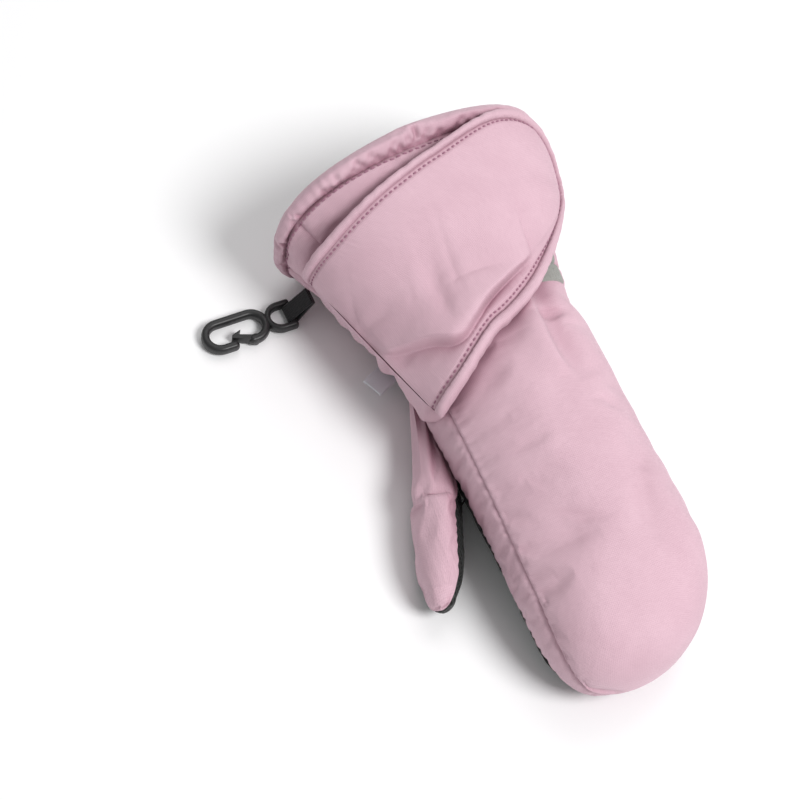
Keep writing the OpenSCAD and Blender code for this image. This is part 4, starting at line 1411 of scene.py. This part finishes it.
def careLabel():
    # a loop of tape: two plies joined by a round fold at the far end, the upper one lifting a little
    s = np.linspace(0, 1, 49)[:, None]
    w = np.linspace(0, label["size"][1], 15)[None, :]
    length = label["size"][0]
    along = length * np.where(s < 0.5, 2 * s, 2 - 2 * s) ** 0.9
    gap = 0.5 * np.sin(np.pi * along / length) ** 0.7
    up = np.where(s < 0.5, 0.1, 0.1 + label["ply"] + gap) + 0.5 * (along / length) ** 2 * np.sin(w * 0.35)
    a = np.radians(label["turn"])
    x = along * np.cos(a) - w * np.sin(a)
    y = along * np.sin(a) + w * np.cos(a)
    grid = np.array(label["place"]) + np.stack([x, y, up], -1)
    thicken(meshPiece("careLabel", [part(grid, 1)], "label_tape", "care_label"), label["ply"], -1)


careLabel()


# stitches
stitches = {  # pitch, length, radius and height over the cloth
    "flap": (2.4, 1.5, 0.3, 0.1),
    "cuff": (2.8, 1.8, 0.3, 0.1),
    "arch": 0.12,
    "cuffRow": 1,
}


def stitchRow(name, path, normals, size, bodyName):
    # each stitch is a six-sided spindle, arched by arch*(1-s^2), its radius falling as (1-s^4)^(1/2)
    pitch, length, radius, over = size
    path = path + normals * over
    run = pathRun(path)
    at = np.arange(pitch / 2, run[-1], pitch)
    s = np.linspace(-1, 1, 7)
    onPath = alongPath(path, run, at[:, None] + s * length / 2)
    n = unit(alongPath(normals, run, at))
    along = onPath[:, -1] - onPath[:, 0]
    along /= np.linalg.norm(along, axis=1, keepdims=True) + 1e-9
    b = np.cross(along, n)[:, None, None]
    n = n[:, None, None]
    around = np.linspace(0, 2 * np.pi, 7)[:-1, None]
    thick = radius * np.sqrt(np.maximum(0.06, 1 - s**4))
    arched = n * (stitches["arch"] * (1 - s**2))[:, None, None]
    points = onPath[:, :, None] + arched + (np.cos(around) * b + np.sin(around) * n) * thick[:, None, None]
    ids = np.arange(len(at) * 42).reshape(-1, 7, 6)
    nxt = np.roll(ids, -1, 2)
    walls = np.stack([ids[:, :-1], nxt[:, :-1], nxt[:, 1:], ids[:, 1:]], -1).reshape(-1, 4)
    ends = [ring[:, corners] for ring in (ids[:, 0, ::-1], ids[:, -1])
            for corners in ([0, 1, 2, 3], [3, 4, 5, 0])]
    mesh = newMesh(name, toMetres(points.reshape(-1, 3)), np.concatenate([walls, *ends]))
    finishPiece(name, mesh, threadPink, bodyName, "shell_canvas")


def insetPath(grid, inset, way, edges):
    # points a fixed distance inside each named edge, (axis, index, reverse), with the surface's normals
    n = gridNormals(grid, way)
    paths, ups = [], []
    for axis, index, reverse in edges:
        line, up = np.moveaxis(grid, axis, 0), np.moveaxis(n, axis, 0)
        if index < 0:
            line, up = line[::-1], up[::-1]
        run = arcLengths(line, 0)
        k = np.clip((run < inset).sum(0), 1, len(run) - 1)
        j = np.arange(line.shape[1])
        f = ((inset - run[k - 1, j]) / (run[k, j] - run[k - 1, j] + 1e-9))[:, None]
        for values, out in ((line, paths), (up, ups)):
            edge = mixed(values[k - 1, j], values[k, j], f)
            out.append(edge[::-1] if reverse else edge)
    return paths, ups


def trimmed(paths, ups, inset):
    # cut the ends of neighbouring sides where they cross, and join them
    lines, tops = [], []
    for k, (line, up) in enumerate(zip(paths, ups)):
        keep = np.full(len(line), True)
        for other in paths[max(0, k - 1):k] + paths[k + 1:k + 2]:
            away = np.linalg.norm(line[:, None] - other[None], axis=-1).min(1)
            nearest = int(np.argmin(away))
            if away[nearest] < inset and nearest < len(line) / 2:
                keep[:nearest] = False
            elif away[nearest] < inset:
                keep[nearest + 1:] = False
        lines.append(line[keep])
        tops.append(up[keep])
    return np.concatenate(lines), np.concatenate(tops)


# flap: up its hem side, round the end and down its finger side
flapSides = [(1, -1, False), (0, -1, True), (1, 0, True)]
path, ups = trimmed(*insetPath(flapTop, flapLook["stitchIn"], flapOut, flapSides), flapLook["stitchIn"])
stitchRow("flapStitches", path, ups, stitches["flap"], "flap")

# cuff: once round, just inside the hem
path = spline(rowLoop((settled[backIds], settled[palmIds], settled[sideIds]), stitches["cuffRow"]), 1200, 0)
ups = unit(path - np.array([0, path[:, 1].mean() - 25, 36]))
stitchRow("cuffStitches", path, ups, stitches["cuff"], "mitten")
print("stitched")


# the clip
clip = {
    "length": 39,
    "width": 15,
    "thick": 4.6,
    "wire": 3.3,
    "barRadius": 1.2,
    "loopWidth": 7,
    "eyeLength": 11,
    "eyeWall": 2.6,
    "place": (-54, 34),
    "mouth": 13.4,  # from the hook's far end to its nose
    "webbingTo": (7.6, 10.0),  # where the webbing leaves towards the cuff, along and up from the bar
    "webbingThick": 0.9,
    "tongueBevel": 0.3,
}
cl = clip
clipBase = np.array([*cl["place"], cl["thick"] / 2 + 0.3])
eyeWidth = cl["loopWidth"] + 6
hookFrom, hookTo = cl["eyeLength"] - 1.5, cl["length"] - cl["barRadius"]
wireY = (cl["width"] - cl["wire"]) / 2


def arc(centre, radius, first, last, count):
    # a part of a circle between two angles in degrees
    a = np.radians(np.linspace(first, last, count))
    return np.array(centre) + radius * np.stack([np.cos(a), np.sin(a)], -1)


def evenly(path, count):
    # the same path with evenly spaced points
    run = pathRun(path)
    return alongPath(path, run, np.linspace(0, run[-1], count))


def wire(path, wide, high):
    # a rounded section |x|^3+|y|^3=1 carried along a flat path, its ends closed by quarter ellipses
    step = unit(np.gradient(path, axis=0))
    side = np.stack([-step[:, 1], step[:, 0]], -1)
    a = np.linspace(0, 2 * np.pi, 33)
    across, up = signedPower(np.cos(a), 0.72), signedPower(np.sin(a), 0.72)
    flat = path[:, None] + side[:, None] * (across * wide / 2)[None, :, None]
    z = np.broadcast_to(up * high / 2, flat.shape[:2])
    grid = np.concatenate([flat, z[..., None]], -1)
    f = np.linspace(0, np.pi / 2, 7)[1:]
    ends = []
    for k, sign in ((0, -1), (-1, 1)):
        middle, forward = grid[k].mean(0), np.array([*step[k], 0]) * sign
        shrunk = (grid[k] - middle) * np.cos(f)[:, None, None]
        cap = middle + shrunk + forward * (np.sin(f) * wide / 2)[:, None, None]
        ends.append(cap[::sign])
    return np.concatenate([ends[0], grid, ends[1]])


def clipHook():
    # the hook's bent wire, the eye's wire and the bar across the eye, turned half round about the bar
    left, right = hookFrom + cl["width"] / 2, hookTo - cl["width"] / 2
    hook = np.concatenate([[[left + 1.7, wireY]], arc((left, 0), wireY, 90, 270, 40),
                           arc((right, 0), wireY, -90, 90, 40), [[hookTo - cl["mouth"] + 1.65, wireY]]])
    eyeOut, bend = (eyeWidth - cl["eyeWall"]) / 2, cl["eyeLength"] - eyeWidth / 2
    eye = np.concatenate([[[0, -eyeOut]], arc((bend, 0), eyeOut, -90, 90, 50), [[0, eyeOut]]])
    a, y = np.linspace(0, 2 * np.pi, 33), np.linspace(-eyeOut, eyeOut, 12)[:, None]
    bar = np.stack([np.cos(a) * cl["barRadius"] + 0 * y, y + 0 * a, np.sin(a) * cl["barRadius"] + 0 * y], -1)
    parts = []
    for grid in (wire(evenly(hook, 150), cl["wire"], cl["thick"]),
                 wire(evenly(eye, 90), cl["eyeWall"], cl["thick"]),
                 bar):
        grid = clipBase + grid * np.array([-1.0, -1, 1])
        parts.append(part(grid, facing(grid[:3], grid[:3].mean((0, 1)))))
    meshPiece("clipHook", parts, "clip_plastic", "clip_hook", bodyName="clip")


def softenedNode(name, nodeName, width, bodyName, slotName):
    # the CAD piece's own mesh with its doubles merged and its edges bevelled
    mesh = bpy.data.objects[nodeName].data.copy()
    mesh.name = name
    bm = bmesh.new()
    bm.from_mesh(mesh)
    bmesh.ops.remove_doubles(bm, verts=bm.verts, dist=1e-6)
    bmesh.ops.dissolve_limit(bm, angle_limit=0.02, verts=bm.verts, edges=bm.edges)
    bmesh.ops.recalc_face_normals(bm, faces=bm.faces)
    bm.to_mesh(mesh)
    bm.free()
    mesh.materials.clear()
    obj = finishPiece(name, mesh, materials[slotName], bodyName, slotName, [nodeName])
    bevel = obj.modifiers.new("bevel", "BEVEL")
    bevel.width = width * 0.001
    bevel.segments = 3
    bevel.limit_method = "ANGLE"
    bevel.harden_normals = True


def clipWebbing():
    # a flat band from the cuff round the bar and back, swept across its width
    end = np.array(cl["webbingTo"])
    tangent = np.degrees(np.arctan2(end[1], end[0]))
    out = np.array([-np.sin(np.radians(tangent)), np.cos(np.radians(tangent))]) * 0.45
    loop = arc((0, 0), cl["barRadius"] + 0.75, tangent + 90, tangent + 270, 24)
    path = evenly(np.concatenate([[end + out], loop, [end - out]]), 60)
    across = np.linspace(-cl["loopWidth"] / 2, cl["loopWidth"] / 2, 9)
    grid = clipBase + np.stack([path[:, :1] + 0 * across, 0 * path[:, :1] + across,
                                path[:, 1:] + 0 * across], -1)
    thicken(meshPiece("clipWebbing", [part(grid, 1)], "webbing", "clip_loop"), cl["webbingThick"], 0)


clipHook()
softenedNode("clipTongue", "clip_gate", cl["tongueBevel"], "gate", "clip_plastic")
clipWebbing()
print("clip fitted")


# camera, light and floor
view = {
    "back": (-0.335, -0.372, 0.866),  # from the object to the camera
    "right": (0.743, -0.669, 0.0),
    "roll": 18.5,  # degrees
    "distance": 900,
    "target": (23.35, 4.68, 25.0),
    "aside": (-45.8, 1.2),  # the aim stands this far beside the target
    "lens": 105.3,
}


def placeCamera(v):
    # looks along -back, turned by the roll about its own axis
    back, level = unit(np.array(v["back"])), unit(np.array(v["right"]))
    up = np.cross(back, level)
    roll = np.radians(v["roll"])
    right = level * np.cos(roll) + up * np.sin(roll)
    upright = up * np.cos(roll) - level * np.sin(roll)
    target = np.array(v["target"])
    place = target + back * v["distance"]
    z = unit(place - (target + right * v["aside"][0] + upright * v["aside"][1]))
    x = unit(np.cross(upright, z))
    columns = [x, np.cross(z, x), z, place * 0.001]
    camera = addObject("camera", bpy.data.cameras.new("camera"))
    camera.data.lens = v["lens"]
    camera.data.sensor_width = 36
    camera.matrix_world = Matrix([[*(c[k] for c in columns)] for k in range(3)] + [[0, 0, 0, 1]])
    scene.camera = camera


lights = {  # place, size in metres, power in watts
    "key": ((0.75, -1.15, 1.95), 1.0, 43),
    "top": ((0.6, 0.9, 1.5), 1.4, 7),
}
lightAim = (0, 0, 0.03)
worldStrength = 0.38


def softLight(name, place, size, power):
    # a round area light turned towards the aim
    light = bpy.data.lights.new(name, "AREA")
    light.shape, light.size, light.energy = "DISK", size, power
    obj = addObject(name, light)
    obj.location = place
    obj.rotation_euler = (Vector(place) - Vector(lightAim)).to_track_quat("Z", "Y").to_euler()


def floorSheet():
    # a pale square under the object
    mat = bpy.data.materials.new("floorWhite")
    mat.use_nodes = True
    shader = mat.node_tree.nodes["Principled BSDF"]
    for key, value in (("Roughness", 0.35), ("Specular IOR Level", 0.25),
                       ("Base Color", (0.96, 0.96, 0.965, 1))):
        shader.inputs[key].default_value = value
    corners = np.array([[-3, -3, -0.0002], [3, -3, -0.0002], [3, 3, -0.0002], [-3, 3, -0.0002]])
    floor = addObject("floor", newMesh("floor", corners, np.array([[0, 1, 2, 3]])))
    floor.data.materials.append(mat)


placeCamera(view)
floorSheet()
for name, (place, size, power) in lights.items():
    softLight(name, place, size, power)
world = bpy.data.worlds.new("studio")
world.use_nodes = True
background = world.node_tree.nodes["Background"]
background.inputs[0].default_value = (1, 1, 1, 1)
background.inputs[1].default_value = worldStrength
scene.world = world
scene.view_settings.view_transform = "Standard"
